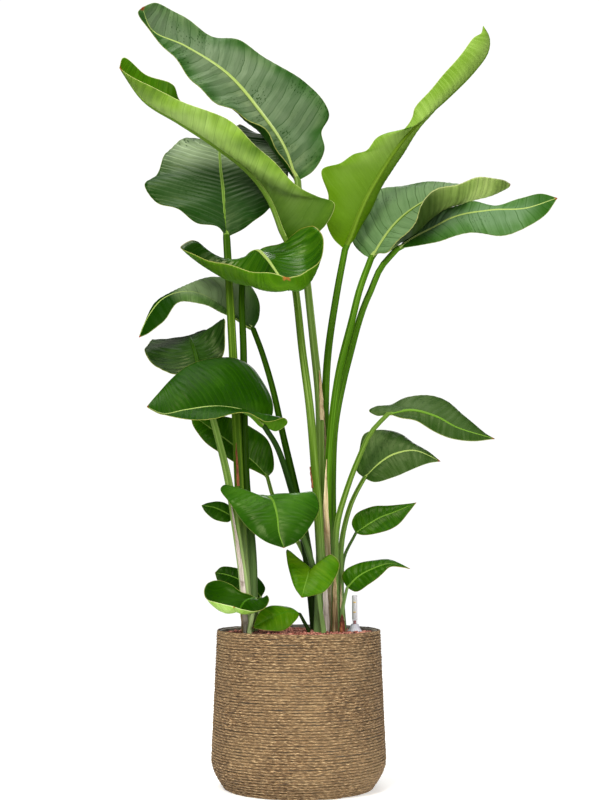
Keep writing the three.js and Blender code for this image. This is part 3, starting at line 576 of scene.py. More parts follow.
    },
    {
        "name": "leaf_right_5",
        "large": False,
        "stalk": [[88, 306, 30], [84, 390, 30], [88, 490, 28], [104, 556, 24], [118, 588, 22]],
        "stalk_radii": [7, 4.5],
        "rib": [[134, 616, 20], [170, 650, 11], [198, 666, 5], [238, 672, -2], [290, 650, -10]],
        "left": [
            [118, 632, 26], [124, 674, 30], [134, 706, 34], [166, 714, 32], [208, 708, 24],
            [238, 686, 12], [268, 668, 0],
        ],
        "left_bulge": [3, 4, 3],
        "right": [[154, 608, 8], [190, 616, 0], [228, 632, -8], [264, 646, -12]],
        "right_bulge": [3, 4, 3],
        "wave": [3, 1, 0.0],
    },
    {
        "name": "leaf_right_6",
        "large": False,
        "stalk": [[92, 306, 72], [88, 390, 68], [92, 454, 60]],
        "stalk_radii": [4.5, 3],
        "rib": [[116, 504, 50], [142, 522, 48], [166, 536, 46], [198, 548, 43], [240, 566, 40]],
        "left": [[108, 524, 54], [118, 544, 56], [150, 558, 54], [182, 560, 50], [210, 562, 45]],
        "left_bulge": [2, 2],
        "right": [[130, 500, 44], [170, 506, 38], [204, 522, 36], [224, 546, 38]],
        "right_bulge": [2, 2],
        "wave": [3, 1, 0.0],
    },
    {
        "name": "leaf_right_7",
        "large": False,
        "stalk": [[88, 306, -10], [88, 346, -13]],
        "stalk_radii": [4.5, 3],
        "rib": [[98, 394, -18], [120, 416, -22], [150, 432, -30], [186, 442, -38], [226, 432, -46]],
        "left": [
            [88, 416, -10], [96, 430, -8], [118, 442, -8], [148, 448, -14], [178, 452, -24],
            [206, 442, -38],
        ],
        "left_bulge": [2, 3, 2],
        "right": [[116, 386, -24], [142, 400, -34], [170, 422, -42], [188, 436, -45]],
        "right_bulge": [2, 3, 2],
        "wave": [3, 1, 0.0],
    },
]

# How each leaf looks: its upper face, its underside, its petiole, the keel under its blade and the
# midrib on top of it, as finishes named further down
LOOKS = {
    "leaf_left_1": ("bloomed", "shaded", "pale_stalk", "pale_stalk", "midrib"),
    "leaf_left_2": ("spring", "bright", "mid_stalk", "mid_stalk", "midrib"),
    "leaf_left_3": ("eared", "olive", "green_stalk", "olive_keel", "midrib"),
    "leaf_left_4": ("pleated", "olive", "two_tone_stalk", "olive_keel", "dull_midrib"),
    "leaf_left_5": ("silver", "shaded", "green_stalk", "pale_stalk", "midrib"),
    "leaf_left_6": ("satin_pleated", "olive", "pale_stalk", "olive_keel", "green_stalk"),
    "leaf_left_7": ("mature", "olive", "shaded_stalk", "olive_keel", "midrib"),
    "leaf_left_8": ("fresh", "olive", "mid_stalk", "olive_keel", "dull_midrib"),
    "leaf_left_9": ("glossy", "olive", "green_stalk", "olive_keel", "soft_midrib"),
    "leaf_left_10": ("mature", "olive", "green_stalk", "olive_keel", "soft_midrib"),
    "leaf_left_11": ("mature", "pale", "pale_stalk", "pale_keel", "hidden_midrib"),
    "leaf_left_12": ("mature", "olive", "pale_stalk", "olive_keel", "soft_midrib"),
    "leaf_left_13": ("spring", "bright", "shaded_stalk", "olive_keel", "hidden_midrib"),
    "leaf_left_14": ("spring", "bright", "mid_stalk", "olive_keel", "soft_midrib"),
    "leaf_right_1": ("spring", "lime", "right_stalk", "dark_keel", "midrib"),
    "leaf_right_2": ("pale_weathered", "rolled", "right_stalk", "olive_keel", "midrib"),
    "leaf_right_3": ("dusty", "pale", "right_stalk", "olive_keel", "midrib"),
    "leaf_right_4": ("weathered", "olive", "mid_stalk", "olive_keel", "soft_midrib"),
    "leaf_right_5": ("weathered", "olive", "mid_stalk", "olive_keel", "midrib"),
    "leaf_right_6": ("fresh", "olive", "green_stalk", "olive_keel", "soft_midrib"),
    "leaf_right_7": ("fresh", "olive", "mid_stalk", "olive_keel", "soft_midrib"),
}

# The dry sheaths that clasp the petioles: the leaf, the heights of its foot and point, the way it
# faces (degrees from the front to the right), how much of the petiole it goes round, and its finish
SHEATHS = [
    ("leaf_right_2", 300, 655, -28, 120, "cream_sheath"),
    ("leaf_left_1", 740, 846, 30, 60, "cream_sheath"),
    ("leaf_right_1", 640, 760, -10, 60, "cream_sheath"),
    ("leaf_left_6", 296, 575, -12, 64, "grey_sheath"),
    ("leaf_left_6", 296, 372, -60, 40, "brown_sheath"),
    ("leaf_left_4", 300, 450, 22, 34, "red_sheath"),
    ("leaf_left_4", 600, 688, -10, 30, "red_sheath"),
    ("leaf_left_2", 300, 455, 25, 70, "grey_sheath"),
    ("leaf_left_2", 596, 640, -75, 60, "red_sheath"),
    ("leaf_right_4", 300, 440, -5, 80, "brown_sheath"),
    ("leaf_right_7", 300, 342, 0, 160, "red_sheath"),
    ("leaf_right_5", 300, 402, 10, 60, "cream_sheath"),
]

# Painted shadow along a leaf, from base (0) to tip (1): how much darker a face is painted where part
# of the leaf lies in shadow, at its tip, foot, base or one side, on a curled ear or in a rolled margin.
# The sheen band is painted dark all over but for a band halfway up, where a painted sheen shows.
NO_PAINTED_SHADE = ((0.0, "#000000"), (1.0, "#000000"))
PAINTED_SHADE_AT_TIP = ((0.2, "#000000"), (0.5, "#999999"), (0.9, "#dddddd"))
PAINTED_SHADE_AT_FOOT_AND_TIP = (
    (0.0, "#ffffff"), (0.14, "#eeeeee"), (0.34, "#000000"), (0.8, "#000000"), (0.9, "#dddddd")
)
PAINTED_SHADE_AT_ENDS = (
    (0.0, "#f0f0f0"), (0.2, "#cccccc"), (0.36, "#333333"), (0.55, "#888888"), (0.66, "#ffffff")
)
PAINTED_SHEEN_BAND = (
    (0.0, "#f6f6f6"), (0.48, "#f0f0f0"), (0.6, "#6c6c6c"), (0.68, "#6c6c6c"), (0.8, "#f0f0f0")
)
PAINTED_SHADE_AT_BASE = (
    (0.0, "#ffffff"), (0.3, "#cccccc"), (0.45, "#000000"), (0.7, "#111111"), (0.9, "#888888"),
    (1.0, "#aaaaaa"),
)
PAINTED_SHADE_AT_SIDE = ((0.0, "#aaaaaa"), (0.3, "#888888"), (0.55, "#333333"), (0.8, "#444444"), (1.0, "#777777"))
PAINTED_SHADE_ON_EAR = ((0.06, "#000000"), (0.14, "#eeeeee"), (0.42, "#eeeeee"), (0.52, "#000000"))
PAINTED_SHADE_FADING_TO_TIP = ((0.0, "#ffffff"), (0.3, "#dddddd"), (0.45, "#777777"), (0.7, "#000000"))
PAINTED_SHADE_IN_ROLL = (
    (0.12, "#000000"), (0.22, "#ffffff"), (0.46, "#eeeeee"), (0.62, "#444444"), (0.8, "#000000")
)


def linear(hex_colour):
    """A written sRGB colour as the linear values that a shader takes."""
    channels = [int(hex_colour[i:i + 2], 16) / 255 for i in (1, 3, 5)]
    straight = [c / 12.92 if c <= 0.04045 else ((c + 0.055) / 1.055) ** 2.4 for c in channels]
    return (*straight, 1.0)


def add(tree, kind, links=None, values=None, stops=None, **settings):
    """Adds a node with its settings, fixed inputs, colour stops and incoming links."""
    made = tree.nodes.new(kind)
    for name, value in settings.items():
        setattr(made, name, value)
    for name, value in (values or {}).items():
        made.inputs[name].default_value = linear(value) if isinstance(value, str) else value
    for name, source in (links or {}).items():
        tree.links.new(source, made.inputs[name])
    if stops:
        ramp = made.color_ramp
        while len(ramp.elements) < len(stops):
            ramp.elements.new(0.5)
        for element, (place, colour) in zip(ramp.elements, stops):
            element.position = place
            element.color = linear(colour)
    return made


def painted(tree, base, layers):
    """A base colour with further colours laid over it in turn, each by its own share."""
    for share, colour in layers:
        base = add(tree, "ShaderNodeMix", {"Factor": share, 6: base}, {7: colour},
                   data_type="RGBA").outputs[2]
    return base


def new_material(name, fixed):
    """A surface material and its shader, with the inputs that are the same all over the piece."""
    material = bpy.data.materials.new(name)
    material.use_nodes = True
    tree = material.node_tree
    shader = tree.nodes["Principled BSDF"]
    for socket, value in fixed.items():
        shader.inputs[socket].default_value = linear(value) if isinstance(value, str) else value
    return material, tree, shader


def leaf_face(name, tones, roughness, pitch=16, lines=0.4, line_width=0.12, pleats=0.6, calm=0.0,
              bloom_and_sheen=0.0, specks=0.0, painted_shade=NO_PAINTED_SHADE, painted_shade_out=-1.0, dry_from=0.995, gloss=0.12):
    """The waxy face of a leaf blade. Side veins run from the midrib out to the margin, each in the
    valley of a fold, light or dark by the sign of lines; finer veins lie between them; a calm face
    shows few streaks. A pale haze, partly the leaf's own glaucous wax and partly a painted sheen of
    the pale room, dulls the middle of the face, not its margins; dark specks gather in places; the
    margin is thin and dry, the last of the tip dead and brown. The stops of the shadow ramp tell how
    much darker the colour is painted, as shadow, along the leaf from base to tip, further to the
    right of the midrib than the given limit (metres)."""
    deep, middle, light, haze, margin, tip = tones
    vein_tone = light if lines > 0 else deep
    material, tree, shader = new_material(name, {
        "IOR": 1.5, "Specular IOR Level": gloss, "Specular Tint": WAX_TINT,
    })
    vein = add(tree, "ShaderNodeUVMap", uv_map="vein").outputs["UV"]
    edge = add(tree, "ShaderNodeUVMap", uv_map="edge").outputs["UV"]
    place = add(tree, "ShaderNodeTexCoord").outputs["Object"]
    vein_parts = add(tree, "ShaderNodeSeparateXYZ", {0: vein}).outputs
    edge_parts = add(tree, "ShaderNodeSeparateXYZ", {0: edge}).outputs
    cloud = add(tree, "ShaderNodeTexNoise", {"Vector": place},
                {"Scale": 11.0, "Detail": 3.0}).outputs["Fac"]
    warp = add(tree, "ShaderNodeMath", {0: cloud}, {1: 1.1}, operation="MULTIPLY").outputs[0]
    fold_run = add(tree, "ShaderNodeMath", {0: vein_parts[0], 2: warp}, {1: 1000 / pitch},
                   operation="MULTIPLY_ADD").outputs[0]
    fold = add(tree, "ShaderNodeTexVoronoi", {"W": fold_run}, {"Scale": 1.0, "Randomness": 0.6},
               voronoi_dimensions="1D", feature="DISTANCE_TO_EDGE").outputs["Distance"]
    broad_map = add(tree, "ShaderNodeMapping", {"Vector": vein}, {"Scale": LEAF_STREAKS}).outputs[0]
    broad = add(tree, "ShaderNodeTexNoise", {"Vector": broad_map},
                {"Scale": 1.0, "Detail": 2.0}).outputs["Fac"]
    fine_map = add(tree, "ShaderNodeMapping", {"Vector": vein}, {"Scale": LEAF_FINE_VEINS}).outputs[0]
    fine = add(tree, "ShaderNodeTexNoise", {"Vector": fine_map},
               {"Scale": 1.0, "Detail": 2.0}).outputs["Fac"]
    calmed = add(tree, "ShaderNodeMix", {"A": broad, "B": cloud}, {"Factor": calm}).outputs["Result"]
    toned = add(tree, "ShaderNodeValToRGB", {"Fac": calmed},
                stops=[(0.28, deep), (0.5, middle), (0.86, light)]).outputs["Color"]
    # A pale haze over the middle of the face: partly glaucous wax, partly a painted sheen of the pale room
    bloom_and_sheen_noise = add(tree, "ShaderNodeMapRange", {"Value": cloud},
                      {"From Min": 0.3, "From Max": 0.62, "To Min": 0.6}).outputs[0]
    bloom_and_sheen_reach = add(tree, "ShaderNodeMapRange", {"Value": edge_parts[0]},
                      {"From Min": 0.004, "From Max": 0.045, "To Min": 0.1, "To Max": bloom_and_sheen},
                      interpolation_type="SMOOTHSTEP").outputs[0]
    bloom_and_sheen_share = add(tree, "ShaderNodeMath", {0: bloom_and_sheen_noise, 1: bloom_and_sheen_reach},
                      operation="MULTIPLY").outputs[0]
    fine_share = add(tree, "ShaderNodeMapRange", {"Value": fine},
                     {"From Min": 0.45, "From Max": 0.8, "To Max": 0.3}).outputs[0]
    line_share = add(tree, "ShaderNodeMapRange", {"Value": fold},
                     {"From Min": 0.01, "From Max": line_width, "To Min": abs(lines), "To Max": 0.0},
                     interpolation_type="SMOOTHSTEP").outputs[0]
    line_place = add(tree, "ShaderNodeMapRange", {"Value": broad},
                     {"From Min": 0.34, "From Max": 0.56, "To Min": 0.3}).outputs[0]
    line_here = add(tree, "ShaderNodeMath", {0: line_share, 1: line_place},
                    operation="MULTIPLY").outputs[0]
    speck_map = add(tree, "ShaderNodeMapping", {"Vector": vein}, {"Scale": LEAF_SPECKS}).outputs[0]
    speck_cells = add(tree, "ShaderNodeTexVoronoi", {"Vector": speck_map}, {"Scale": 1.0},
                      voronoi_dimensions="2D").outputs["Distance"]
    speck_gate = add(tree, "ShaderNodeTexNoise", {"Vector": place},
                     {"Scale": 17.0, "Detail": 1.0}).outputs["Fac"]
    speck_reach = add(tree, "ShaderNodeMapRange", {"Value": speck_gate},
                      {"From Min": 0.44, "From Max": 0.66, "To Min": -0.05, "To Max": 0.21}).outputs[0]
    speck_in = add(tree, "ShaderNodeMath", {0: speck_cells, 1: speck_reach},
                   operation="LESS_THAN").outputs[0]
    speck = add(tree, "ShaderNodeMath", {0: speck_in}, {1: specks}, operation="MULTIPLY").outputs[0]
    # Painted shadow: the colour mixed towards the deep tone where part of the leaf lies in shadow
    painted_shade_ramp = add(tree, "ShaderNodeValToRGB", {"Fac": edge_parts[1]}, stops=painted_shade).outputs["Color"]
    painted_shade_side = add(tree, "ShaderNodeMapRange", {"Value": vein_parts[1]},
                     {"From Min": painted_shade_out - 0.008, "From Max": painted_shade_out + 0.008}).outputs[0]
    painted_shade_share = add(tree, "ShaderNodeMath", {0: painted_shade_ramp, 1: painted_shade_side},
                      operation="MULTIPLY").outputs[0]
    margin_share = add(tree, "ShaderNodeMapRange", {"Value": edge_parts[0]},
                       {"From Min": 0.0003, "From Max": 0.0011, "To Min": 0.6, "To Max": 0.0}
                       ).outputs[0]
    ragged = add(tree, "ShaderNodeMath", {0: speck_gate, 2: edge_parts[1]}, {1: 0.03},
                 operation="MULTIPLY_ADD").outputs[0]
    dry_share = add(tree, "ShaderNodeMapRange", {"Value": ragged},
                    {"From Min": dry_from, "From Max": dry_from + 0.011}).outputs[0]
    coloured = painted(tree, toned, [
        (bloom_and_sheen_share, haze), (fine_share, vein_tone), (line_here, vein_tone), (speck, SPECK_TONE),
        (painted_shade_share, deep), (margin_share, margin), (dry_share, tip),
    ])
    tree.links.new(coloured, shader.inputs["Base Color"])
    rough = add(tree, "ShaderNodeMapRange", {"Value": broad},
                {"From Min": 0.3, "From Max": 0.7, "To Min": roughness - 0.05,
                 "To Max": roughness + 0.09}).outputs[0]
    tree.links.new(rough, shader.inputs["Roughness"])
    fold_bump = add(tree, "ShaderNodeBump", {"Height": fold},
                    {"Strength": pleats, "Distance": 0.0055}).outputs[0]
    broad_bump = add(tree, "ShaderNodeBump", {"Height": broad, "Normal": fold_bump},
                     {"Strength": 0.35 * (1 - calm), "Distance": 0.003}).outputs[0]
    fine_bump = add(tree, "ShaderNodeBump", {"Height": fine, "Normal": broad_bump},
                    {"Strength": 0.12, "Distance": 0.0006}).outputs[0]
    tree.links.new(fine_bump, shader.inputs["Normal"])
    return material


def stalk_skin(name, deep, middle, light, roughness, groove_light_and_shade=0.0, foot=None, dark_from=9.0):
    """The smooth skin of a petiole or midrib: long pale and dark streaks along it, painted shadow in
    the channel on its upper side and painted highlights on the two ridges beside it, the foot's colour
    towards the clay, deep above the height dark_from (metres), satin."""
    material, tree, shader = new_material(name, {
        "Roughness": roughness, "IOR": 1.45, "Specular IOR Level": 0.1, "Specular Tint": WAX_TINT,
    })
    vein = add(tree, "ShaderNodeUVMap", uv_map="vein").outputs["UV"]
    place = add(tree, "ShaderNodeTexCoord").outputs["Object"]
    round_way = add(tree, "ShaderNodeSeparateXYZ", {0: vein}).outputs[1]
    height = add(tree, "ShaderNodeSeparateXYZ", {0: place}).outputs[2]
    streak_map = add(tree, "ShaderNodeMapping", {"Vector": vein}, {"Scale": STALK_STREAKS}).outputs[0]
    streaks = add(tree, "ShaderNodeTexNoise", {"Vector": streak_map}, {"Scale": 1.0, "Detail": 3.0})
    patches = add(tree, "ShaderNodeTexNoise", {"Vector": place}, {"Scale": 9.0, "Detail": 3.0})
    streaked = add(tree, "ShaderNodeValToRGB", {"Fac": streaks.outputs["Fac"]},
                   stops=[(0.3, deep), (0.5, middle), (0.74, light)]).outputs["Color"]
    patch_share = add(tree, "ShaderNodeMapRange", {"Value": patches.outputs["Fac"]},
                      {"From Min": 0.42, "From Max": 0.66, "To Max": 0.6}).outputs[0]
    # Painted shadow in the channel along the upper side, painted highlights on the ridges beside it
    off_middle = add(tree, "ShaderNodeMath", {0: round_way}, {1: GROOVE_MIDDLE},
                     operation="SUBTRACT").outputs[0]
    beside = add(tree, "ShaderNodeMath", {0: off_middle}, operation="ABSOLUTE").outputs[0]
    painted_groove_shade = add(tree, "ShaderNodeMapRange", {"Value": beside},
                     {"From Min": 0.0022, "From Max": 0.0034, "To Min": groove_light_and_shade, "To Max": 0.0}).outputs[0]
    off_ridge = add(tree, "ShaderNodeMath", {0: beside}, {1: GROOVE_RIDGE},
                    operation="SUBTRACT").outputs[0]
    ridge = add(tree, "ShaderNodeMath", {0: off_ridge}, operation="ABSOLUTE").outputs[0]
    painted_ridge_highlight = add(tree, "ShaderNodeMapRange", {"Value": ridge},
                      {"From Min": 0.0004, "From Max": 0.0013, "To Min": groove_light_and_shade, "To Max": 0.0}
                      ).outputs[0]
    low_share = add(tree, "ShaderNodeMapRange", {"Value": height},
                    {"From Min": 0.32, "From Max": 0.54, "To Min": 1.2, "To Max": 0.0}).outputs[0]
    foot_share = add(tree, "ShaderNodeMath", {0: low_share, 1: streaks.outputs["Fac"]},
                     operation="MULTIPLY").outputs[0]
    high_share = add(tree, "ShaderNodeMapRange", {"Value": height},
                     {"From Min": dark_from - 0.02, "From Max": dark_from + 0.02, "To Max": 0.8}).outputs[0]
    coloured = painted(tree, streaked, [
        (patch_share, middle), (painted_groove_shade, deep), (painted_ridge_highlight, light), (foot_share, foot or middle),
        (high_share, deep),
    ])
    tree.links.new(coloured, shader.inputs["Base Color"])
    bump = add(tree, "ShaderNodeBump", {"Height": streaks.outputs["Fac"]},
               {"Strength": 0.5, "Distance": 0.0006}).outputs[0]
    tree.links.new(bump, shader.inputs["Normal"])
    return material


def sheath_skin(name, dark, middle, pale):
    """The dead, papery skin of an old sheath: fibres along it in tan, grey and brown, darker spots
    where it rots, matt."""
    material, tree, shader = new_material(name, {"Roughness": 0.8})
    vein = add(tree, "ShaderNodeUVMap", uv_map="vein").outputs["UV"]
    place = add(tree, "ShaderNodeTexCoord").outputs["Object"]
    fibre_map = add(tree, "ShaderNodeMapping", {"Vector": vein}, {"Scale": SHEATH_FIBRES}).outputs[0]
    fibres = add(tree, "ShaderNodeTexNoise", {"Vector": fibre_map}, {"Scale": 1.0, "Detail": 4.0})
    spots = add(tree, "ShaderNodeTexNoise", {"Vector": place}, {"Scale": 42.0, "Detail": 4.0})
    base = add(tree, "ShaderNodeValToRGB", {"Fac": fibres.outputs["Fac"]},
               stops=[(0.34, dark), (0.48, middle), (0.62, pale)]).outputs["Color"]
    spot_share = add(tree, "ShaderNodeMapRange", {"Value": spots.outputs["Fac"]},
                     {"From Min": 0.55, "From Max": 0.7, "To Max": 0.7}).outputs[0]
    spotted = painted(tree, base, [(spot_share, dark)])
    tree.links.new(spotted, shader.inputs["Base Color"])
    bump = add(tree, "ShaderNodeBump", {"Height": fibres.outputs["Fac"]},
               {"Strength": 0.9, "Distance": 0.0012}).outputs[0]
    tree.links.new(bump, shader.inputs["Normal"])
    return material


# Leaf faces: mature leaves are a deep green, weathered and dusty ones greyer with glaucous wax and a
# painted sheen, fresh and spring ones yellow-green. Undersides are duller and mostly lighter, the
# shaded one painted darker as shadow. Each has its deep, middle and light tone, its wax and painted
# sheen, its margin and its dried tip, and some are painted darker as shadow along the leaf. Petioles
# and midribs are satin green skins with their three tones, some with painted shadow in the channel and
# painted highlights on its ridges, and a foot that is paler where it is named; the darkest is painted
# as shadow, for petioles that stand in shadow. Sheaths are dead, matt and papery.
FINISHES = {
    "mature": leaf_face(
        "mature_leaf_upper", ("#082700", "#113600", "#2b5403", "#294806", "#93a04a", "#6a3a1a"), 0.36,
        pitch=12, lines=0.6, line_width=0.06, pleats=0.15, calm=0.85, bloom_and_sheen=0.1, specks=0.6,
        gloss=0.08),
    # Painted dark as shadow all over but a band halfway up, where pale tones and vein lines paint a gloss
    # sheen
    "pleated": leaf_face(
        "pleated_leaf_upper", ("#0a3000", "#1c3a10", "#a4b890", "#788c68", "#93a04a", "#6a3a1a"), 0.34,
        pitch=12, lines=0.7, line_width=0.12, pleats=0.3, calm=0.9, bloom_and_sheen=0.6, specks=0.8,
        painted_shade=PAINTED_SHEEN_BAND, gloss=0.12),
    "satin_pleated": leaf_face(
        "satin_pleated_leaf_upper", ("#041600", "#0a2002", "#305018", "#1c3812", "#93a04a", "#6a3a1a"),
        0.34, pitch=11, lines=0.45, line_width=0.1, pleats=0.2, calm=0.85, bloom_and_sheen=0.2, specks=0.4,
        gloss=0.16),
    "glossy": leaf_face(
        "glossy_leaf_upper", ("#082400", "#245408", "#487818", "#44701c", "#93a04a", "#6a3a1a"), 0.28,
        pitch=13, lines=0.3, line_width=0.08, pleats=0.1, calm=0.95, bloom_and_sheen=0.35, specks=0.4,
        painted_shade=PAINTED_SHADE_AT_TIP, gloss=0.12),
    "bloomed": leaf_face(
        "bloomed_leaf_upper", ("#12360a", "#244c12", "#6f825c", "#586950", "#98a860", "#6a2a12"), 0.34,
        pitch=30, lines=-0.7, line_width=0.05, pleats=0.7, calm=0.8, bloom_and_sheen=0.8, specks=0.9,
        painted_shade=PAINTED_SHADE_AT_SIDE, painted_shade_out=0.04),
    "weathered": leaf_face(
        "weathered_leaf_upper", ("#163404", "#263f10", "#546840", "#425832", "#98a860", "#6a2a12"),
        0.36, pitch=16, lines=-0.35, line_width=0.06, pleats=0.25, calm=0.5, bloom_and_sheen=0.6, specks=0.6,
        dry_from=0.975),
    "pale_weathered": leaf_face(
        "pale_weathered_leaf_upper", ("#1c3c0c", "#486838", "#7c9468", "#6c8860", "#98a860", "#6a2a12"),
        0.42, pitch=22, lines=-0.8, line_width=0.06, pleats=0.6, calm=0.6, bloom_and_sheen=0.5, specks=0.3,
        gloss=0.05),
    # Its grey is partly a painted sheen of the pale room; both its ends are painted dark as shadow
    "silver": leaf_face(
        "silver_leaf_upper", ("#0d2e00", "#466929", "#89a06c", "#849772", "#98a860", "#7a2a0c"), 0.5,
        pitch=26, lines=-0.4, line_width=0.06, pleats=0.3, calm=0.6, bloom_and_sheen=0.8, specks=0.2,
        painted_shade=PAINTED_SHADE_AT_ENDS, gloss=0.04),
    "dusty": leaf_face(
        "dusty_leaf_upper", ("#1c4404", "#3a6026", "#6e8a66", "#667e62", "#98a860", "#7a2a0c"), 0.42,
        pitch=26, lines=-0.6, line_width=0.06, pleats=0.5, calm=0.6, bloom_and_sheen=0.6, specks=0.3,
        painted_shade=PAINTED_SHADE_AT_FOOT_AND_TIP, gloss=0.0),
    "fresh": leaf_face(
        "fresh_leaf_upper", ("#103200", "#1a4600", "#456a06", "#355706", "#a08a40", "#7a3a14"), 0.32,
        pitch=13, lines=0.2, line_width=0.08, pleats=0.2, calm=0.6, bloom_and_sheen=0.2),
    "eared": leaf_face(
        "eared_leaf_upper", ("#062100", "#194501", "#456d08", "#375b09", "#a08a40", "#7a3a14"), 0.26,
        pitch=15, lines=0.45, line_width=0.08, pleats=0.3, calm=0.6, bloom_and_sheen=0.1, painted_shade=PAINTED_SHADE_ON_EAR,
        painted_shade_out=0.05, gloss=0.25),
    "spring": leaf_face(
        "spring_leaf_upper", ("#204700", "#306001", "#62800d", "#4c7009", "#b4b060", "#7a3a14"), 0.36,
        pitch=13, lines=0.15, line_width=0.08, pleats=0.15, calm=0.75, bloom_and_sheen=0.3),
    "bright": leaf_face(
        "bright_leaf_under", ("#284c00", "#6c8f26", "#9cb86c", "#98b268", "#ccd08c", "#8a5a2a"), 0.42,
        pitch=24, lines=-0.3, line_width=0.05, pleats=0.7, calm=0.8, bloom_and_sheen=0.55, painted_shade=PAINTED_SHADE_AT_BASE),
    "lime": leaf_face(
        "lime_leaf_under", ("#466a00", "#567a10", "#8cac54", "#90a860", "#b8c070", "#6a8a2a"), 0.46,
        pitch=14, lines=0.35, line_width=0.07, pleats=0.3, calm=0.55, bloom_and_sheen=0.5, painted_shade=PAINTED_SHADE_FADING_TO_TIP,
        gloss=0.05),
    "rolled": leaf_face(
        "rolled_leaf_under", ("#0c2400", "#7c9848", "#b8c880", "#96ae60", "#c8d098", "#7a4a20"), 0.42,
        pitch=20, lines=-0.3, line_width=0.06, pleats=0.3, calm=0.7, bloom_and_sheen=0.5, painted_shade=PAINTED_SHADE_IN_ROLL),
    "olive": leaf_face(
        "olive_leaf_under", ("#244a00", "#386204", "#587c10", "#4c740c", "#b4b870", "#8a5a2a"), 0.42,
        pitch=16, lines=-0.3, line_width=0.06, pleats=0.25, calm=0.5, bloom_and_sheen=0.3),
    "pale": leaf_face(
        "pale_leaf_under", ("#568220", "#7ea441", "#b1cb7f", "#96b862", "#d0d8a8", "#8a5a2a"), 0.45,
        pitch=20, lines=-0.3, line_width=0.06, pleats=0.25, calm=0.5, bloom_and_sheen=0.4),
    # Undersides that lie in shadow, painted darker
    "shaded": leaf_face(
        "shaded_leaf_under", ("#0c2c00", "#143c00", "#285010", "#1c4408", "#b4b870", "#8a5a2a"), 0.42,
        pitch=16, lines=-0.3, line_width=0.06, pleats=0.25, calm=0.5, bloom_and_sheen=0.2),
    "pale_stalk": stalk_skin(
        "pale_petiole_skin", "#44641a", "#5e7a34", "#8ca45e", 0.40, groove_light_and_shade=0.35, foot="#c8dca0"),
    "green_stalk": stalk_skin(
        "green_petiole_skin", "#123000", "#1c3c01", "#395607", 0.38, groove_light_and_shade=0.35, foot="#88a868"),
    "mid_stalk": stalk_skin(
        "mid_green_petiole_skin", "#30500c", "#4e6c1e", "#7e9650", 0.40, groove_light_and_shade=0.3, foot="#88a868"),
    "two_tone_stalk": stalk_skin(
        "two_tone_petiole_skin", "#224204", "#436312", "#647e29", 0.40, groove_light_and_shade=0.35, foot="#c8dca0",
        dark_from=1.07),
    "right_stalk": stalk_skin(
        "right_fan_petiole_skin", "#284a04", "#386008", "#608828", 0.40, groove_light_and_shade=0.3, foot="#a0b880"),
    # Painted dark as shadow, for petioles that stand in shadow, nearly black at the foot
    "shaded_stalk": stalk_skin(
        "shaded_deep_green_petiole_skin", "#0c1c02", "#16300a", "#2c4c10", 0.40, foot="#141c08"),
    "hidden_midrib": stalk_skin("hidden_midrib_skin", "#2c5404", "#386808", "#4c7c14", 0.38),
    "dark_keel": stalk_skin("dark_olive_keel_skin", "#3c5808", "#506c14", "#6c8830", 0.42),
    "soft_midrib": stalk_skin("soft_midrib_skin", "#3c6810", "#587f24", "#86a050", 0.38),
    "pale_keel": stalk_skin("pale_keel_skin", "#7ca040", "#9cbe64", "#bcd490", 0.42),
    "olive_keel": stalk_skin("olive_keel_skin", "#2c5000", "#3e6800", "#6c9030", 0.42),
    "midrib": stalk_skin("midrib_upper_skin", "#5e7930", "#8ca151", "#acb994", 0.38),
    "dull_midrib": stalk_skin("dull_midrib_skin", "#3c5c10", "#6c8a34", "#8ca860", 0.36, groove_light_and_shade=0.4),
    "margin": stalk_skin("dry_leaf_margin", "#5c6820", "#80863c", "#a8a460", 0.6),
    "cream_sheath": sheath_skin("cream_papery_sheath", "#8a5a3a", "#c0aa7c", "#e0d4b0"),
    "brown_sheath": sheath_skin("brown_papery_sheath", "#5c2c18", "#8c6c44", "#c4b488"),
    "grey_sheath": sheath_skin("grey_papery_sheath", "#5c4840", "#a89c90", "#dcd4cc"),
    "red_sheath": sheath_skin("red_brown_papery_sheath", "#3c0c08", "#6c2818", "#a8643c"),
}


def seen(points):
    """The places in space of points written as x, height and depth along the line of sight."""
    points = np.asarray(points, float)
    flat = np.stack([points[:, 0], np.zeros(len(points)), points[:, 1]], -1)
    return EYE + (flat - EYE) * (1 - points[:, 2:] / EYE[1])


def unit(vectors):
    """Vectors of any length, each brought to a length of one."""
    lengths = np.linalg.norm(vectors, axis=-1, keepdims=True)
    return vectors / np.maximum(lengths, 1e-9)


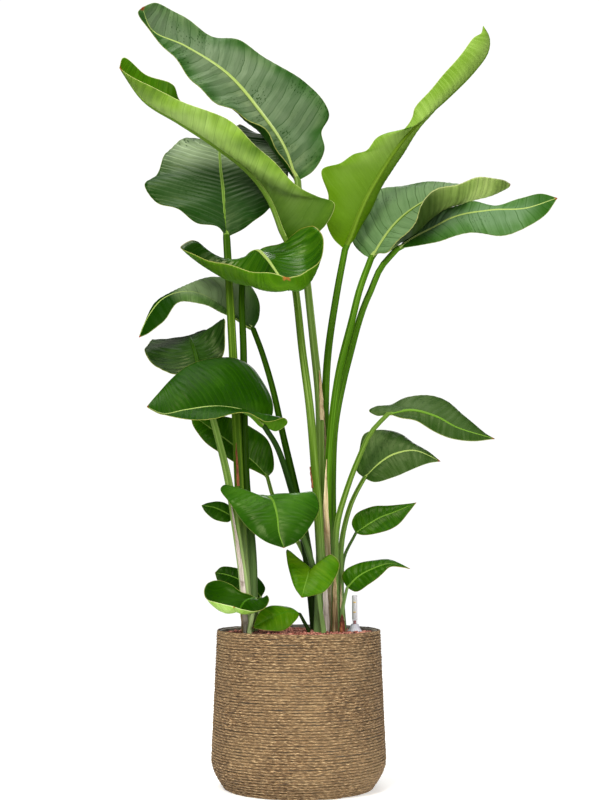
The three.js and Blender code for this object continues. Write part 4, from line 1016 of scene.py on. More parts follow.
def follow(points, shares):
    """Points, directions and the length of the smooth curve through points, at shares of its length."""
    ends = [2 * points[0] - points[1], 2 * points[-1] - points[-2]]
    line = np.vstack([ends[0], points, ends[1]])
    dense = []
    steps = np.linspace(0, 1, CURVE_STEPS, endpoint=False)[:, None]
    for i in range(len(points) - 1):
        p0, p1, p2, p3 = line[i:i + 4]
        d0, d1, d2 = (math.sqrt(np.linalg.norm(b - a)) for a, b in ((p0, p1), (p1, p2), (p2, p3)))
        start = ((p1 - p0) / d0 - (p2 - p0) / (d0 + d1) + (p2 - p1) / d1) * d1
        end = ((p2 - p1) / d1 - (p3 - p1) / (d1 + d2) + (p3 - p2) / d2) * d1
        square = -3 * p1 + 3 * p2 - 2 * start - end
        cube = 2 * p1 - 2 * p2 + start + end
        dense.append(p1 + start * steps + square * steps**2 + cube * steps**3)
    dense = np.vstack([*dense, points[-1:]])
    gone = np.concatenate([[0], np.cumsum(np.linalg.norm(np.diff(dense, axis=0), axis=1))])
    length = gone[-1]

    def at(distances):
        return np.stack([np.interp(distances, gone, dense[:, k]) for k in range(3)], -1)

    distances = np.asarray(shares) * length
    reach = DIRECTION_REACH * length
    ahead = at(np.clip(distances + reach, 0, length))
    behind = at(np.clip(distances - reach, 0, length))
    return at(distances), unit(ahead - behind), length


def spread(values, shares):
    """Smooth values at shares of a short list of evenly spaced numbers or vectors."""
    values = np.asarray(values, float)
    last = len(values) - 1
    places = np.clip(shares, 0, 1) * last
    low = np.minimum(places.astype(int), last - 1)
    part = places - low
    if values.ndim == 2:
        part = part[:, None]
    before, start, end, after = (values[np.clip(low + k, 0, last)] for k in (-1, 0, 1, 2))
    bend = 2 * before - 5 * start + 4 * end - after
    turn = 3 * start - before - 3 * end + after
    return 0.5 * (2 * start + (end - before) * part + bend * part**2 + turn * part**3)


def rib_radius(leaf, shares):
    """The midrib's radius, the petiole's at its foot and a fine point at its tip."""
    return TIP_RADIUS + (leaf["stalk_radii"][1] - TIP_RADIUS) * (1 - shares)**0.8


def side_ups(leaf, margin_line, side, shares):
    """The directions square to one half of the blade, evened out along the leaf."""
    form_shares = np.linspace(0, LAST_ROW, FORM_ROWS[leaf["large"]] + 1)
    ribs, tangents, _ = follow(seen(leaf["rib"]), form_shares)
    edges, _, _ = follow(margin_line, form_shares)
    ups = unit(np.cross(edges - ribs, tangents) * side)
    for _ in range(3):
        middle = ups[:-2] + ups[2:] + 2 * ups[1:-1]
        ups = unit(np.vstack([middle[:1], middle, middle[-1:]]))
    return unit(spread(ups, shares / LAST_ROW))


def blade_surface(leaf, phase):
    """The blade's places row by row from left margin to right, and its two maps: "vein" holds the
    distance along the leaf and out from the midrib, "edge" the distance to the margin and the
    share of the length."""
    rows = FINE_ROWS[leaf["large"]]
    half = FINE_COLUMNS[leaf["large"]] // 2
    shares = np.linspace(0, 1, rows + 1)
    rib_line = seen(leaf["rib"])
    ribs, tangents, length = follow(rib_line, shares)
    waves, height, wave_phase = leaf["wave"]
    taper = np.sqrt(np.sin(math.pi * np.clip(shares, 0, 1)).clip(0))
    outward = np.linspace(0, 1, half + 1)**1.1
    pleat_height = PLEATS.get(leaf["name"], PLEAT_HEIGHT)
    halves = []
    for side, margin, bulge in ((-1, "left", "left_bulge"), (1, "right", "right_bulge")):
        margin_line = seen([leaf["rib"][0], *leaf[margin], leaf["rib"][-1]])
        edges, _, _ = follow(margin_line, shares)
        ups = side_ups(leaf, margin_line, side, shares)
        across = edges - ribs
        width = np.linalg.norm(across, axis=1)
        broad = np.minimum(width / NARROW_BLADE, 1)
        forward = np.sum(across * tangents, axis=1)
        outward_reach = np.linalg.norm(across - tangents * forward[:, None], axis=1)
        lift = spread(leaf[bulge], shares) * taper
        ripple = height * np.sin(2 * math.pi * (waves * shares + wave_phase + 0.25 * side)) * taper
        columns = []
        for u in outward:
            rise = lift * 4 * u * (1 - u) + ripple * u**2
            vein_run = shares * length + u * forward - VEIN_SWEEP * u * outward_reach
            run = vein_run / PLEAT_PITCH + PLEAT_WANDER * np.sin(shares * PLEAT_WANDER_RATE + phase)
            fade = min(1, 4 * u) * min(1, 6 * (1.1 - u))
            pleat = pleat_height * np.sin(2 * math.pi * run) * taper * fade
            sway_run = shares * length / SWAY_LENGTH + 0.7 * u + phase
            sway = SWAY_HEIGHT * np.sin(2 * math.pi * sway_run) * taper * u
            rise = rise + pleat * broad + sway * broad
            columns.append((ribs + across * u + ups * rise[:, None],
                            np.stack([vein_run, side * u * outward_reach], -1) * MM,
                            np.stack([(1 - u) * width * MM, shares], -1)))
        halves.append(columns)
    ordered = halves[0][:0:-1] + halves[1]
    places, vein, edge = (np.stack([column[k] for column in ordered], 1) for k in range(3))
    return places, vein, edge


def stalk_surface(leaf):
    """The petiole from the clay up and the midrib after it: a round stalk with a channel on its
    upper side, that turns into a keel under the blade with a flat band along its top."""
    large = leaf["large"]
    foot = seen(leaf["stalk"][:1])[0]
    start = np.array([foot[0], foot[1], STEM_STRAIGHT])
    rib_line = seen(leaf["rib"])
    petiole_line = np.vstack([start, seen(leaf["stalk"][1:]), rib_line[:1]])
    petiole_shares = np.linspace(0, 1, STALK_ROWS[large])
    rib_shares = np.linspace(0, 1, RIB_ROWS[large])[1:]
    low, high = leaf["stalk_radii"]
    stems, stem_tangents, stem_length = follow(petiole_line, petiole_shares)
    ribs, rib_tangents, rib_length = follow(rib_line, rib_shares)
    ups = []
    for side, margin in ((-1, "left"), (1, "right")):
        margin_line = seen([leaf["rib"][0], *leaf[margin], leaf["rib"][-1]])
        ups.append(side_ups(leaf, margin_line, side, rib_shares))
    rib_ups = unit(ups[0] + ups[1])
    stem_ups = np.zeros_like(stems)
    up = rib_ups[0]
    for i in range(len(stems) - 1, -1, -1):
        up = unit(up - stem_tangents[i] * np.dot(up, stem_tangents[i]))
        stem_ups[i] = up
    bottom = np.array([foot[0], foot[1], STEM_FOOT])
    centres = np.vstack([bottom, bottom, stems, ribs])
    tangents = np.vstack([[0, 0, 1], [0, 0, 1], stem_tangents, rib_tangents])
    rises = np.vstack([stem_ups[:1], stem_ups[:1], stem_ups, rib_ups])
    sides = unit(np.cross(tangents, rises))
    radii = np.concatenate([[0, low], low + (high - low) * petiole_shares, rib_radius(leaf, rib_shares)])
    radii[-1] = 0
    along = np.concatenate([[0, 0], petiole_shares * stem_length, stem_length + rib_shares * rib_length])
    blend = np.concatenate([np.zeros(len(petiole_shares) + 2), np.clip(rib_shares / 0.05, 0, 1)])
    turns = np.linspace(2 * math.pi, 0, STALK_SIDES + 1)
    columns = []
    for turn in turns:
        c, s = math.cos(turn), math.sin(turn)
        channel = 1 - CHANNEL_DEPTH * math.exp(-((abs(math.atan2(c, s))) / CHANNEL_WIDTH)**2)
        above = s > 1e-6
        if above:
            flat_x = BAND_WIDTH * c
            flat_y = BAND_HEIGHT * s - BAND_HEIGHT * math.exp(-(c / BAND_DIP_WIDTH)**2)
        else:
            flat_x = KEEL_WIDTH * c
            flat_y = KEEL_DEPTH * s
        x = radii * ((1 - blend) * channel * c + blend * flat_x)
        y = radii * ((1 - blend) * channel * s + blend * flat_y)
        y = y + blend * (BAND_LIFT if above else KEEL_LIFT) * (radii > 0)
        columns.append((centres + sides * x[:, None] + rises * y[:, None],
                        np.stack([along, turn * ROUND_WAY + 0 * along], -1) * MM,
                        np.stack([0.05 + 0 * along, 0 * along], -1)))
    places, vein, edge = (np.stack([column[k] for column in columns], 1) for k in range(3))
    return places, vein, edge, len(petiole_shares) + 2


def skin(name, places, maps, materials, closed=False):
    """A grid primitive with its points moved to places (rows by columns, in millimetres)."""
    rows, columns = places.shape[:2]
    bpy.ops.object.select_all(action="DESELECT")
    bpy.ops.mesh.primitive_grid_add(x_subdivisions=columns - 1, y_subdivisions=rows - 1, size=0.1,
                                    calc_uvs=False)
    piece = bpy.context.object
    piece.name = name
    mesh = piece.data
    mesh.vertices.foreach_set("co", (places * MM).reshape(-1))
    corners = np.empty(len(mesh.loops), int)
    mesh.loops.foreach_get("vertex_index", corners)
    for map_name, values in maps.items():
        layer = mesh.uv_layers.new(name=map_name)
        layer.data.foreach_set("uv", values.reshape(-1, 2)[corners].reshape(-1))
    for material in materials:
        mesh.materials.append(material)
    mesh.update()
    if closed:
        bpy.ops.object.mode_set(mode="EDIT")
        bpy.ops.mesh.select_all(action="SELECT")
        bpy.ops.mesh.remove_doubles(threshold=MERGE_DISTANCE * MM)
        bpy.ops.object.mode_set(mode="OBJECT")
    return piece


def finish(piece, slot, *nodes):
    """Smooth shading, the body it rides on and the nodes it stands for. The argument slot is not used."""
    bpy.ops.object.select_all(action="DESELECT")
    piece.select_set(True)
    bpy.context.view_layer.objects.active = piece
    bpy.ops.object.shade_smooth()
    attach(piece, "root")
    if nodes:
        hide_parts(*nodes)
    return piece


def join(pieces, name):
    """The pieces made one, under a new name."""
    bpy.ops.object.select_all(action="DESELECT")
    for piece in pieces:
        piece.select_set(True)
    bpy.context.view_layer.objects.active = pieces[0]
    bpy.ops.object.join()
    pieces[0].name = name
    return pieces[0]


def make_leaf(index, leaf):
    """One leaf: a blade with two faces and a rim, and a petiole with its midrib, as one piece."""
    upper, under, stalk, keel, midrib = LOOKS[leaf["name"]]
    materials = [FINISHES[key] for key in (upper, under, "margin", stalk, midrib, keel)]
    places, vein, edge = blade_surface(leaf, index * PHASE_STEP)
    blade = skin(leaf["name"] + "_blade", places, {"vein": vein, "edge": edge}, materials, closed=True)
    solid = blade.modifiers.new("thickness", "SOLIDIFY")
    solid.thickness = BLADE_THICKNESS * MM
    solid.offset = 0
    solid.material_offset = UNDER
    solid.material_offset_rim = MARGIN
    bpy.ops.object.modifier_apply(modifier=solid.name)
    places, vein, edge, rib_row = stalk_surface(leaf)
    stem = skin(leaf["name"] + "_stem", places, {"vein": vein, "edge": edge}, materials)
    # The faces still stand in rows and columns here, before the rings at the two ends are merged
    for face in stem.data.polygons:
        row, column = divmod(face.index, STALK_SIDES)
        top = column >= STALK_SIDES / 2
        if row >= rib_row:
            face.material_index = MIDRIB if top else KEEL
        else:
            face.material_index = STALK
    bpy.ops.object.mode_set(mode="EDIT")
    bpy.ops.mesh.select_all(action="SELECT")
    bpy.ops.mesh.remove_doubles(threshold=MERGE_DISTANCE * MM)
    bpy.ops.object.mode_set(mode="OBJECT")
    piece = join([blade, stem], leaf["name"] + "_dressed")
    return finish(piece, "leaf", leaf["name"])


def make_sheath(number, spec):
    """A dry sheath: a thin curved shell that clasps one side of a petiole and narrows to a ragged
    point."""
    name, low, high, facing, reach, finish_name = spec
    leaf = next(leaf for leaf in LEAVES if leaf["name"] == name)
    foot = seen(leaf["stalk"][:1])[0]
    start = np.array([foot[0], foot[1], STEM_STRAIGHT])
    line = np.vstack([start, seen(leaf["stalk"][1:]), seen(leaf["rib"][:1])])
    shares = np.linspace(0, 1, SHEATH_LINE_STEPS)
    stems, _, _ = follow(line, shares)
    below, above = leaf["stalk_radii"]
    heights = np.linspace(low, high, SHEATH_ROWS)
    middles = np.stack([np.interp(heights, stems[:, 2], stems[:, k]) for k in (0, 1)], -1)
    radii = below + (above - below) * np.interp(heights, stems[:, 2], shares)
    run = (heights - low) / (high - low)
    narrowing = 1 - run**SHEATH_TAPER
    turns = np.linspace(-1, 1, SHEATH_COLUMNS)
    places = np.empty((SHEATH_ROWS, SHEATH_COLUMNS, 3))
    vein = np.empty((SHEATH_ROWS, SHEATH_COLUMNS, 2))
    for column, turn in enumerate(turns):
        ragged = 1 + SHEATH_RAGGED * np.sin(run * SHEATH_RAGGED_RATE + number + 2 * turn) * run
        angle = np.radians(facing + turn * reach / 2 * narrowing * ragged)
        curl = SHEATH_CURL * turn**2 * run
        ripple = SHEATH_RIPPLE * np.sin(run * SHEATH_RIPPLE_RATE + turn * 3 + number)
        out = radii + (SHEATH_LIFT + curl + ripple)
        places[:, column, 0] = middles[:, 0] + out * np.sin(angle)
        places[:, column, 1] = middles[:, 1] - out * np.cos(angle)
        places[:, column, 2] = heights
        vein[:, column, 0] = heights * MM
        vein[:, column, 1] = turn * radii * MM
    shell = skin(f"sheath_{number + 1}", places, {"vein": vein}, [FINISHES[finish_name]], closed=True)
    solid = shell.modifiers.new("thickness", "SOLIDIFY")
    solid.thickness = SHEATH_THICKNESS * MM
    solid.offset = 0
    bpy.ops.object.modifier_apply(modifier=solid.name)
    return finish(shell, "leaf")


def planter_radius(z):
    """The planter's outer outline: a narrower foot, a low round belly, straight sloping sides."""
    z = np.asarray(z, float)
    rise = np.clip(z / BELLY_HEIGHT, 0, 1)
    foot = FOOT_RADIUS + (BELLY_RADIUS - FOOT_RADIUS) * np.sin(rise * math.pi / 2)
    up = np.clip((z - BELLY_HEIGHT) / (PLANTER_HEIGHT - BELLY_HEIGHT), 0, 1)
    return foot + (RIM_RADIUS - BELLY_RADIUS) * up


def turned(name, profile, steps, materials, x=0, y=0, arc=(0, 2 * math.pi)):
    """A closed profile of radius and height turned about an upright axis, all the way or an arc."""
    profile = np.asarray(profile, float)
    angles = np.linspace(*arc, steps + 1)
    radii, heights = profile[:, :1], profile[:, 1:]
    places = np.stack([x + radii * np.cos(angles), y + radii * np.sin(angles),
                       heights + 0 * angles], -1)
    vein = np.stack([heights + 0 * angles, radii * angles], -1) * MM
    return skin(name, places, {"vein": vein}, materials, closed=True)


def rope_material():
    """Twisted seagrass: dry tan fibres laid aslant, pale where they are worn, painted nearly black as
    shadow where one turn lies on the next, matt."""
    material, tree, shader = new_material("twisted_seagrass_rope", {"Roughness": 0.9})
    vein = add(tree, "ShaderNodeUVMap", uv_map="vein").outputs["UV"]
    place = add(tree, "ShaderNodeTexCoord").outputs["Object"]
    aslant = add(tree, "ShaderNodeMapping", {"Vector": vein},
                 {"Rotation": (0, 0, ROPE_FIBRE_SLANT), "Scale": ROPE_FIBRES}).outputs[0]
    fibres = add(tree, "ShaderNodeTexNoise", {"Vector": aslant},
                 {"Scale": 1.0, "Detail": 4.0, "Roughness": 0.75})
    tone_map = add(tree, "ShaderNodeMapping", {"Vector": vein}, {"Scale": ROPE_TONES}).outputs[0]
    tones = add(tree, "ShaderNodeTexNoise", {"Vector": tone_map}, {"Scale": 1.0, "Detail": 4.0})
    wear = add(tree, "ShaderNodeTexNoise", {"Vector": place}, {"Scale": 9.0, "Detail": 2.0})
    colour = add(tree, "ShaderNodeValToRGB", {"Fac": fibres.outputs["Fac"]},
                 stops=[(0.38, "#180e06"), (0.46, "#5c4428"), (0.54, "#90704a"), (0.64, "#ecd0a0")]
                 ).outputs["Color"]
    tone_share = add(tree, "ShaderNodeMapRange", {"Value": tones.outputs["Fac"]},
                     {"From Min": 0.42, "From Max": 0.72, "To Max": 0.6}).outputs[0]
    wear_share = add(tree, "ShaderNodeMapRange", {"Value": wear.outputs["Fac"]},
                     {"From Min": 0.4, "From Max": 0.7, "To Max": 0.35}).outputs[0]
    # Painted shadow: nearly black in the crease where one turn lies on the next
    round_way = add(tree, "ShaderNodeSeparateXYZ", {0: vein}).outputs[1]
    off_front = add(tree, "ShaderNodeMath", {0: round_way}, {1: math.pi * ROPE_RADIUS * MM},
                    operation="PINGPONG").outputs[0]
    painted_crease_shade = add(tree, "ShaderNodeMapRange", {"Value": off_front},
                     {"From Min": 0.0027, "From Max": 0.0044, "To Max": 0.75}).outputs[0]
    crease_shaded = painted(tree, colour, [
        (tone_share, "#4a3a28"), (wear_share, "#a08660"), (painted_crease_shade, "#160e08"),
    ])
    tree.links.new(crease_shaded, shader.inputs["Base Color"])
    bump = add(tree, "ShaderNodeBump", {"Height": fibres.outputs["Fac"]},
               {"Strength": 1.0, "Distance": 0.0022}).outputs[0]
    tree.links.new(bump, shader.inputs["Normal"])
    return material


def make_rope():
    """The one long rope, wound from the foot to the rim, uneven in thickness and height."""
    lowest = ROPE_RADIUS + ROPE_FOOT_CLEARANCE
    highest = PLANTER_HEIGHT - ROPE_RADIUS
    turns = (highest - lowest) / ROPE_PITCH + 2
    count = int(turns * ROPE_STEPS_PER_TURN)
    run = np.arange(count + 1) / ROPE_STEPS_PER_TURN
    angles = 2 * math.pi * run
    heights = np.clip(lowest + ROPE_PITCH * (run - 1), lowest, highest)
    draw = np.random.default_rng(ROPE_SEED)
    blur = np.ones(3) / 3
    thick, high, out = (np.convolve(draw.normal(0, 1, count + 1), blur, "same") for _ in range(3))
    wander = np.convolve(draw.normal(0, 1, count + 1), np.ones(ROPE_WANDER) / ROPE_WANDER**0.5, "same")
    radii = ROPE_RADIUS + ROPE_UNEVEN * thick
    radii[0] = radii[-1] = 0
    middle = planter_radius(heights) - ROPE_RADIUS + ROPE_UNEVEN * out
    length = np.cumsum(2 * math.pi * middle / ROPE_STEPS_PER_TURN)
    columns = []
    for turn in np.linspace(0, 2 * math.pi, ROPE_SIDES + 1):
        reach = middle + radii * math.cos(turn)
        places = np.stack([reach * np.cos(angles), reach * np.sin(angles),
                           heights + ROPE_UNEVEN * (high + 0.4 * wander) + radii * math.sin(turn)], -1)
        columns.append((places, np.stack([length, ROPE_RADIUS * turn + 0 * length], -1) * MM))
    places, vein = (np.stack([column[k] for column in columns], 1) for k in range(2))
    rope = skin("wound_rope", places[:, ::-1], {"vein": vein[:, ::-1]}, [rope_material()], closed=True)
    return finish(rope, "rope", "rope_wrap")


def moulded_material(name, colour, darker, roughness):
    """Moulded plastic, satin to matt: one even colour with dust and a fine moulded grain."""
    material, tree, shader = new_material(name, {"Roughness": roughness})
    place = add(tree, "ShaderNodeTexCoord").outputs["Object"]
    dust = add(tree, "ShaderNodeTexNoise", {"Vector": place}, {"Scale": 35.0, "Detail": 5.0})
    grain = add(tree, "ShaderNodeTexNoise", {"Vector": place}, {"Scale": 900.0, "Detail": 2.0})
    mottled = add(tree, "ShaderNodeValToRGB", {"Fac": dust.outputs["Fac"]},
                  stops=[(0.35, darker), (0.65, colour)]).outputs["Color"]
    tree.links.new(mottled, shader.inputs["Base Color"])
    bump = add(tree, "ShaderNodeBump", {"Height": grain.outputs["Fac"]},
               {"Strength": 0.3, "Distance": 0.0003}).outputs[0]
    tree.links.new(bump, shader.inputs["Normal"])
    return material


def make_liner():
    """The grey inner pot, with a rounded lip."""
    offset = ROPE_THICKNESS + GAP
    lip = PLANTER_HEIGHT - LINER_LIP_DROP
    heights = [*LINER_HEIGHTS, lip - 2]
    profile = [[0, 0], [float(planter_radius(0)) - offset - 2, 0]]
    profile += [[float(planter_radius(z)) - offset, z] for z in heights]
    rim = float(planter_radius(lip)) - offset
    profile += [[rim - 0.4, lip - 0.6], [rim - LINER_WALL / 2, lip], [rim - LINER_WALL + 0.4, lip - 0.6]]
    profile += [[float(planter_radius(z)) - offset - LINER_WALL, z] for z in heights[:0:-1]]
    profile += [[float(planter_radius(LINER_FLOOR)) - offset - LINER_WALL, LINER_FLOOR], [0, LINER_FLOOR]]
    material = moulded_material("grey_moulded_liner", "#8d8a80", "#6a675e", 0.6)
    liner = turned("moulded_liner", profile, LINER_SIDES, [material])
    return finish(liner, "liner", "planter_liner")


def clay_material(name, dark, middle, pale):
    """Baked clay: terracotta skins with paler dust and dark open pores, fully matt."""
    material, tree, shader = new_material(name, {"Roughness": 0.92})
    place = add(tree, "ShaderNodeTexCoord").outputs["Object"]
    tones = add(tree, "ShaderNodeTexVoronoi", {"Vector": place}, {"Scale": 190.0})
    dust = add(tree, "ShaderNodeTexNoise", {"Vector": place}, {"Scale": 260.0, "Detail": 4.0})
    tone = add(tree, "ShaderNodeSeparateColor", {0: tones.outputs["Color"]}).outputs[0]
    base = add(tree, "ShaderNodeValToRGB", {"Fac": tone},
               stops=[(0.1, dark), (0.5, middle), (0.9, pale)]).outputs["Color"]
    dust_share = add(tree, "ShaderNodeMapRange", {"Value": dust.outputs["Fac"]},
                     {"From Min": 0.5, "From Max": 0.75, "To Max": 0.45}).outputs[0]
    dusty = painted(tree, base, [(dust_share, pale)])
    tree.links.new(dusty, shader.inputs["Base Color"])
    bump = add(tree, "ShaderNodeBump", {"Height": dust.outputs["Fac"]},
               {"Strength": 0.8, "Distance": 0.0008}).outputs[0]
    tree.links.new(bump, shader.inputs["Normal"])
    return material


def make_grains(material):
    """One uneven granule, copied, turned and sized over the whole top of the clay, clear of the
    petioles and the gauge's foot."""
    draw = random.Random(GRAIN_SEED)
    bpy.ops.object.select_all(action="DESELECT")
    start_size = 0.01
    bpy.ops.mesh.primitive_uv_sphere_add(segments=7, ring_count=5, radius=start_size)
    model = bpy.context.object
    model.data.materials.append(material)
    shape = np.array([vertex.co for vertex in model.data.vertices]) / start_size
    knobs = [[draw.gauss(0, 1) for _ in range(3)] for _ in range(GRAIN_KNOBS)]
    bumps = sum(GRAIN_KNOB_HEIGHT * np.sin(shape @ np.array(knob) * GRAIN_KNOB_RATE) for knob in knobs)
    shape = shape * (1 + bumps)[:, None]
    feet = [(seen(leaf["stalk"][:1])[0], leaf["stalk_radii"][0]) for leaf in LEAVES]
    blocked = [(foot[0], foot[1], radius) for foot, radius in feet]
    blocked.append((GAUGE_X, GAUGE_Y, CAP_RADIUS))
    reach = float(planter_radius(CLAY_LEVEL)) - ROPE_THICKNESS - LINER_WALL - GRAIN_WALL_GAP
    grains = []
    steps = int(reach / GRAIN_SPACING) + 1
    for row in range(-steps, steps + 1):
        for column in range(-steps, steps + 1):
            size = draw.uniform(*GRAIN_SIZES)
            x = (column + 0.5 * (row % 2) + draw.uniform(-GRAIN_SHIFT, GRAIN_SHIFT)) * GRAIN_SPACING
            y = (row * GRAIN_ROW_SHARE + draw.uniform(-GRAIN_SHIFT, GRAIN_SHIFT)) * GRAIN_SPACING
            turn = [draw.uniform(0, 2 * math.pi) for _ in range(3)]
            stretch = [draw.uniform(*GRAIN_STRETCH) for _ in range(3)]
            out = math.hypot(x, y)
            if out + size > reach:
                continue
            if any(math.hypot(x - bx, y - by) < size * GRAIN_OVERLAP + br for bx, by, br in blocked):
                continue
            dome = CLAY_DOME * (1 - out / reach)
            top = CLAY_LEVEL + dome + GRAIN_LIFT + draw.uniform(*GRAIN_SCATTER)
            ca, sa, cb, sb, cc, sc = (f(a) for a in turn for f in (math.cos, math.sin))
            spin = (np.array([[ca, -sa, 0], [sa, ca, 0], [0, 0, 1]])
                    @ np.array([[cb, 0, sb], [0, 1, 0], [-sb, 0, cb]])
                    @ np.array([[1, 0, 0], [0, cc, -sc], [0, sc, cc]]))
            copy = model.copy()
            copy.data = model.data.copy()
            bpy.context.collection.objects.link(copy)
            places = (shape * stretch) @ spin.T * size + (x, y, top)
            copy.data.vertices.foreach_set("co", (places * MM).reshape(-1))
            grains.append(copy)
    bpy.data.objects.remove(model)
    piece = join(grains, "clay_granules")
    return finish(piece, "clay")


def gauge_pieces():
    """The water gauge: its tube, its yellow marks, its red float and its foot cap."""
    # Extruded plastic with a satin haze, milky but for the band that the float's tip shows through
    clear, tree, shader = new_material("clear_gauge_tube", {
        "Base Color": "#d2d2d8", "Specular IOR Level": 0.05, "IOR": 1.49,
    })
    place = add(tree, "ShaderNodeTexCoord").outputs["Object"]
    haze = add(tree, "ShaderNodeTexNoise", {"Vector": place}, {"Scale": 120.0, "Detail": 3.0})
    rough = add(tree, "ShaderNodeMapRange", {"Value": haze.outputs["Fac"]},
                {"To Min": 0.4, "To Max": 0.6}).outputs[0]
    tree.links.new(rough, shader.inputs["Roughness"])
    height = add(tree, "ShaderNodeSeparateXYZ", {"Vector": place}).outputs["Z"]
    milk = add(tree, "ShaderNodeMapRange", {"Value": height}, {
        "From Min": FLOAT_TOP * MM, "From Max": (FLOAT_TOP + CLEAR_BAND) * MM,
        "To Min": 0.22, "To Max": 1.0}).outputs[0]
    tree.links.new(milk, shader.inputs["Alpha"])
    # The skin of the bore is left clear, so that the walls count once
    bore_skin, _, _ = new_material("clear_gauge_bore", {"Alpha": 0.0})
    inside = GAUGE_RADIUS - GAUGE_WALL
    lid = GAUGE_TOP - GAUGE_LID
    tube = turned("gauge_tube_clear", [
        [0, lid], [inside - 0.5, lid], [inside, lid - 0.6],
        [inside, GAUGE_BOTTOM + 0.3], [inside + 0.4, GAUGE_BOTTOM],
        [GAUGE_RADIUS - 0.3, GAUGE_BOTTOM], [GAUGE_RADIUS, GAUGE_BOTTOM + 0.4],
        [GAUGE_RADIUS, GAUGE_TOP - 0.7], [GAUGE_RADIUS - 0.2, GAUGE_TOP - 0.2],
        [GAUGE_RADIUS - 0.7, GAUGE_TOP], [0, GAUGE_TOP],
    ][::-1], GAUGE_SIDES, [clear, bore_skin], GAUGE_X, GAUGE_Y)
    for face in tube.data.polygons:
        reach = math.hypot(face.center.x - GAUGE_X * MM, face.center.y - GAUGE_Y * MM)
        in_bore = reach < (inside + GAUGE_WALL / 2) * MM
        under_lid = face.center.z < (GAUGE_TOP - GAUGE_LID / 2) * MM
        face.material_index = 1 if in_bore and under_lid else 0
    finish(tube, "gauge_tube", "gauge_tube")
    # Printed ink, flat and matt
    yellow = moulded_material("yellow_printed_mark", "#f0cc50", "#e0b83c", 0.5)
    for number, height in enumerate(MARK_HEIGHTS):
        mark = turned(f"gauge_mark_{number + 1}", [
            [GAUGE_RADIUS - 0.2, height - 1.1], [GAUGE_RADIUS + 0.2, height - 1],
            [GAUGE_RADIUS + 0.2, height + 1], [GAUGE_RADIUS - 0.2, height + 1.1],
            [GAUGE_RADIUS - 0.2, height - 1.1],
        ], MARK_SIDES, [yellow], GAUGE_X, GAUGE_Y, MARK_ARC)
        finish(mark, "gauge_tube")
    # Red plastic, whose tip shows through the foot of the tube
    red = moulded_material("red_float_plastic", "#b0140c", "#8c0c08", 0.45)
    float_piece = turned("gauge_float_rod", [
        [0, GAUGE_BOTTOM + 8], [FLOAT_RADIUS - 0.6, GAUGE_BOTTOM + 9],
        [FLOAT_RADIUS, GAUGE_BOTTOM + 12], [FLOAT_RADIUS, GAUGE_BOTTOM + 80],
        [1, GAUGE_BOTTOM + 84], [1, FLOAT_TOP - 12], [FLOAT_RADIUS, FLOAT_TOP - 10],
        [FLOAT_RADIUS, FLOAT_TOP - 1], [FLOAT_RADIUS - 0.8, FLOAT_TOP], [0, FLOAT_TOP],
    ], FLOAT_SIDES, [red], GAUGE_X, GAUGE_Y)
    finish(float_piece, "gauge_float", "gauge_float")
    bore = GAUGE_RADIUS + CAP_BORE_GAP
    # Satin plastic, that takes the lamps' light on its shoulder
    grey = moulded_material("pale_grey_cap_plastic", "#e8e8f2", "#cacad8", 0.28)
    cone = [
        [bore, 0], [CAP_RADIUS - 0.5, 0], [CAP_RADIUS, 0.5], [CAP_RADIUS, CAP_BRIM - 0.5],
        [CAP_RADIUS - 0.7, CAP_BRIM + 0.4], [CAP_SHOULDER_RADIUS, CAP_SHOULDER_HEIGHT],
        [bore + 1.8, CAP_HEIGHT - 1], [bore + 1, CAP_HEIGHT - 0.2], [bore, CAP_HEIGHT], [bore, 0],
    ]
    cone = [[radius, CAP_SEAT + height] for radius, height in cone]
    cap = turned("gauge_cap_cone", cone, CAP_SIDES, [grey], GAUGE_X, GAUGE_Y)
    finish(cap, "gauge_cap", "gauge_cap")


make_rope()
make_liner()

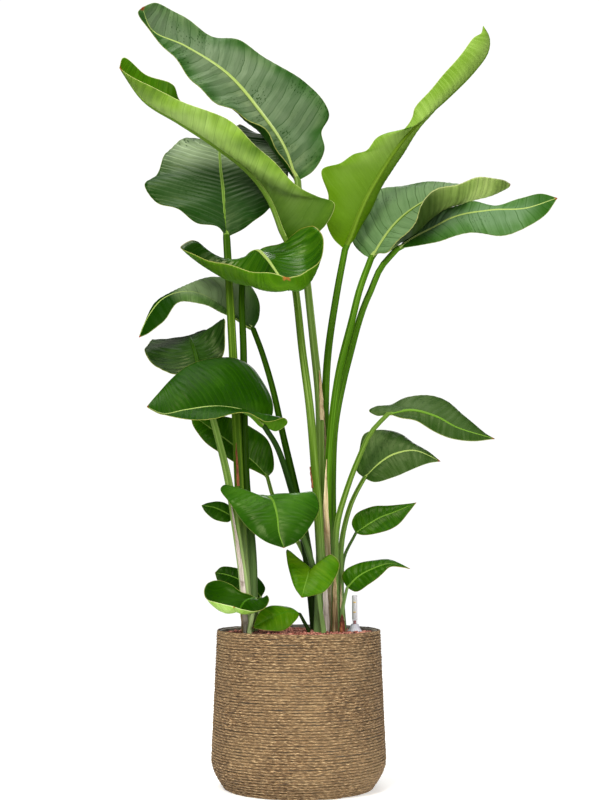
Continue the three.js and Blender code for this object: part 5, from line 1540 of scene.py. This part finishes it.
# Loose granules are dry and dusty. The bed that shows between them is painted nearly black, as the
# shadow in the gaps between them.
clay = clay_material("baked_clay_granules", "#40160e", "#90493c", "#cc8e7c")
painted_shadow_bed = clay_material("painted_shadow_clay_bed", "#1c0c0a", "#2a1410", "#44241e")
clay_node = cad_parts["clay_fill"]
clay_node.data.materials.clear()
clay_node.data.materials.append(painted_shadow_bed)
make_grains(clay)
gauge_pieces()
for index, leaf in enumerate(LEAVES):
    make_leaf(index, leaf)
for number, spec in enumerate(SHEATHS):
    make_sheath(number, spec)


def make_floor():
    """A plain pale round floor that glows faintly, like a light table, so that it stays pale far out."""
    material, _, _ = new_material("pale_studio_floor", {
        "Base Color": "#f4f4f2", "Roughness": 0.9, "Emission Color": "#ffffff",
        "Emission Strength": 0.45,
    })
    profile = [[share * FLOOR_RADIUS, FLOOR_LEVEL] for share in (0, 0.5, 1)]
    floor = turned("studio_floor", profile, FLOOR_SIDES, [material])


def make_light(name, place, target, size, power, colour):
    """A rectangular softbox that points at its target."""
    bpy.ops.object.light_add(type="AREA", location=place)
    light = bpy.context.object
    light.name = name
    light.data.shape = "RECTANGLE"
    light.data.size, light.data.size_y = size
    light.data.energy = power
    light.data.color = linear(colour)[:3]
    aim = np.array(target, float) - np.array(place, float)
    flat = math.hypot(aim[0], aim[1])
    light.rotation_euler = (math.atan2(flat, -aim[2]), 0, math.atan2(-aim[0], aim[1]))


make_floor()
for light in LIGHTS:
    make_light(*light)

# The room is white where it is seen and dim as a light, so that the softboxes shape the plant
world = bpy.data.worlds.new("pale_studio_light")
world.use_nodes = True
background = world.node_tree.nodes["Background"]
background.inputs["Color"].default_value = linear("#ffffff")
sight = add(world.node_tree, "ShaderNodeLightPath").outputs["Is Camera Ray"]
glow = add(world.node_tree, "ShaderNodeMapRange", {"Value": sight},
           {"To Min": 0.07, "To Max": 1.05}).outputs[0]
world.node_tree.links.new(glow, background.inputs["Strength"])
bpy.context.scene.world = world
bpy.context.scene.view_settings.view_transform = "Standard"

bpy.ops.object.camera_add(location=EYE * MM, rotation=(math.pi / 2 + CAMERA_PITCH, 0, 0))
camera = bpy.context.object
camera.data.sensor_width = SENSOR_SIZE
camera.data.sensor_height = SENSOR_SIZE
camera.data.sensor_fit = "AUTO"
camera.data.lens = FOCAL_PIXELS / IMAGE_HEIGHT * SENSOR_SIZE
camera.data.clip_end = FAR_LIMIT
bpy.context.scene.camera = camera
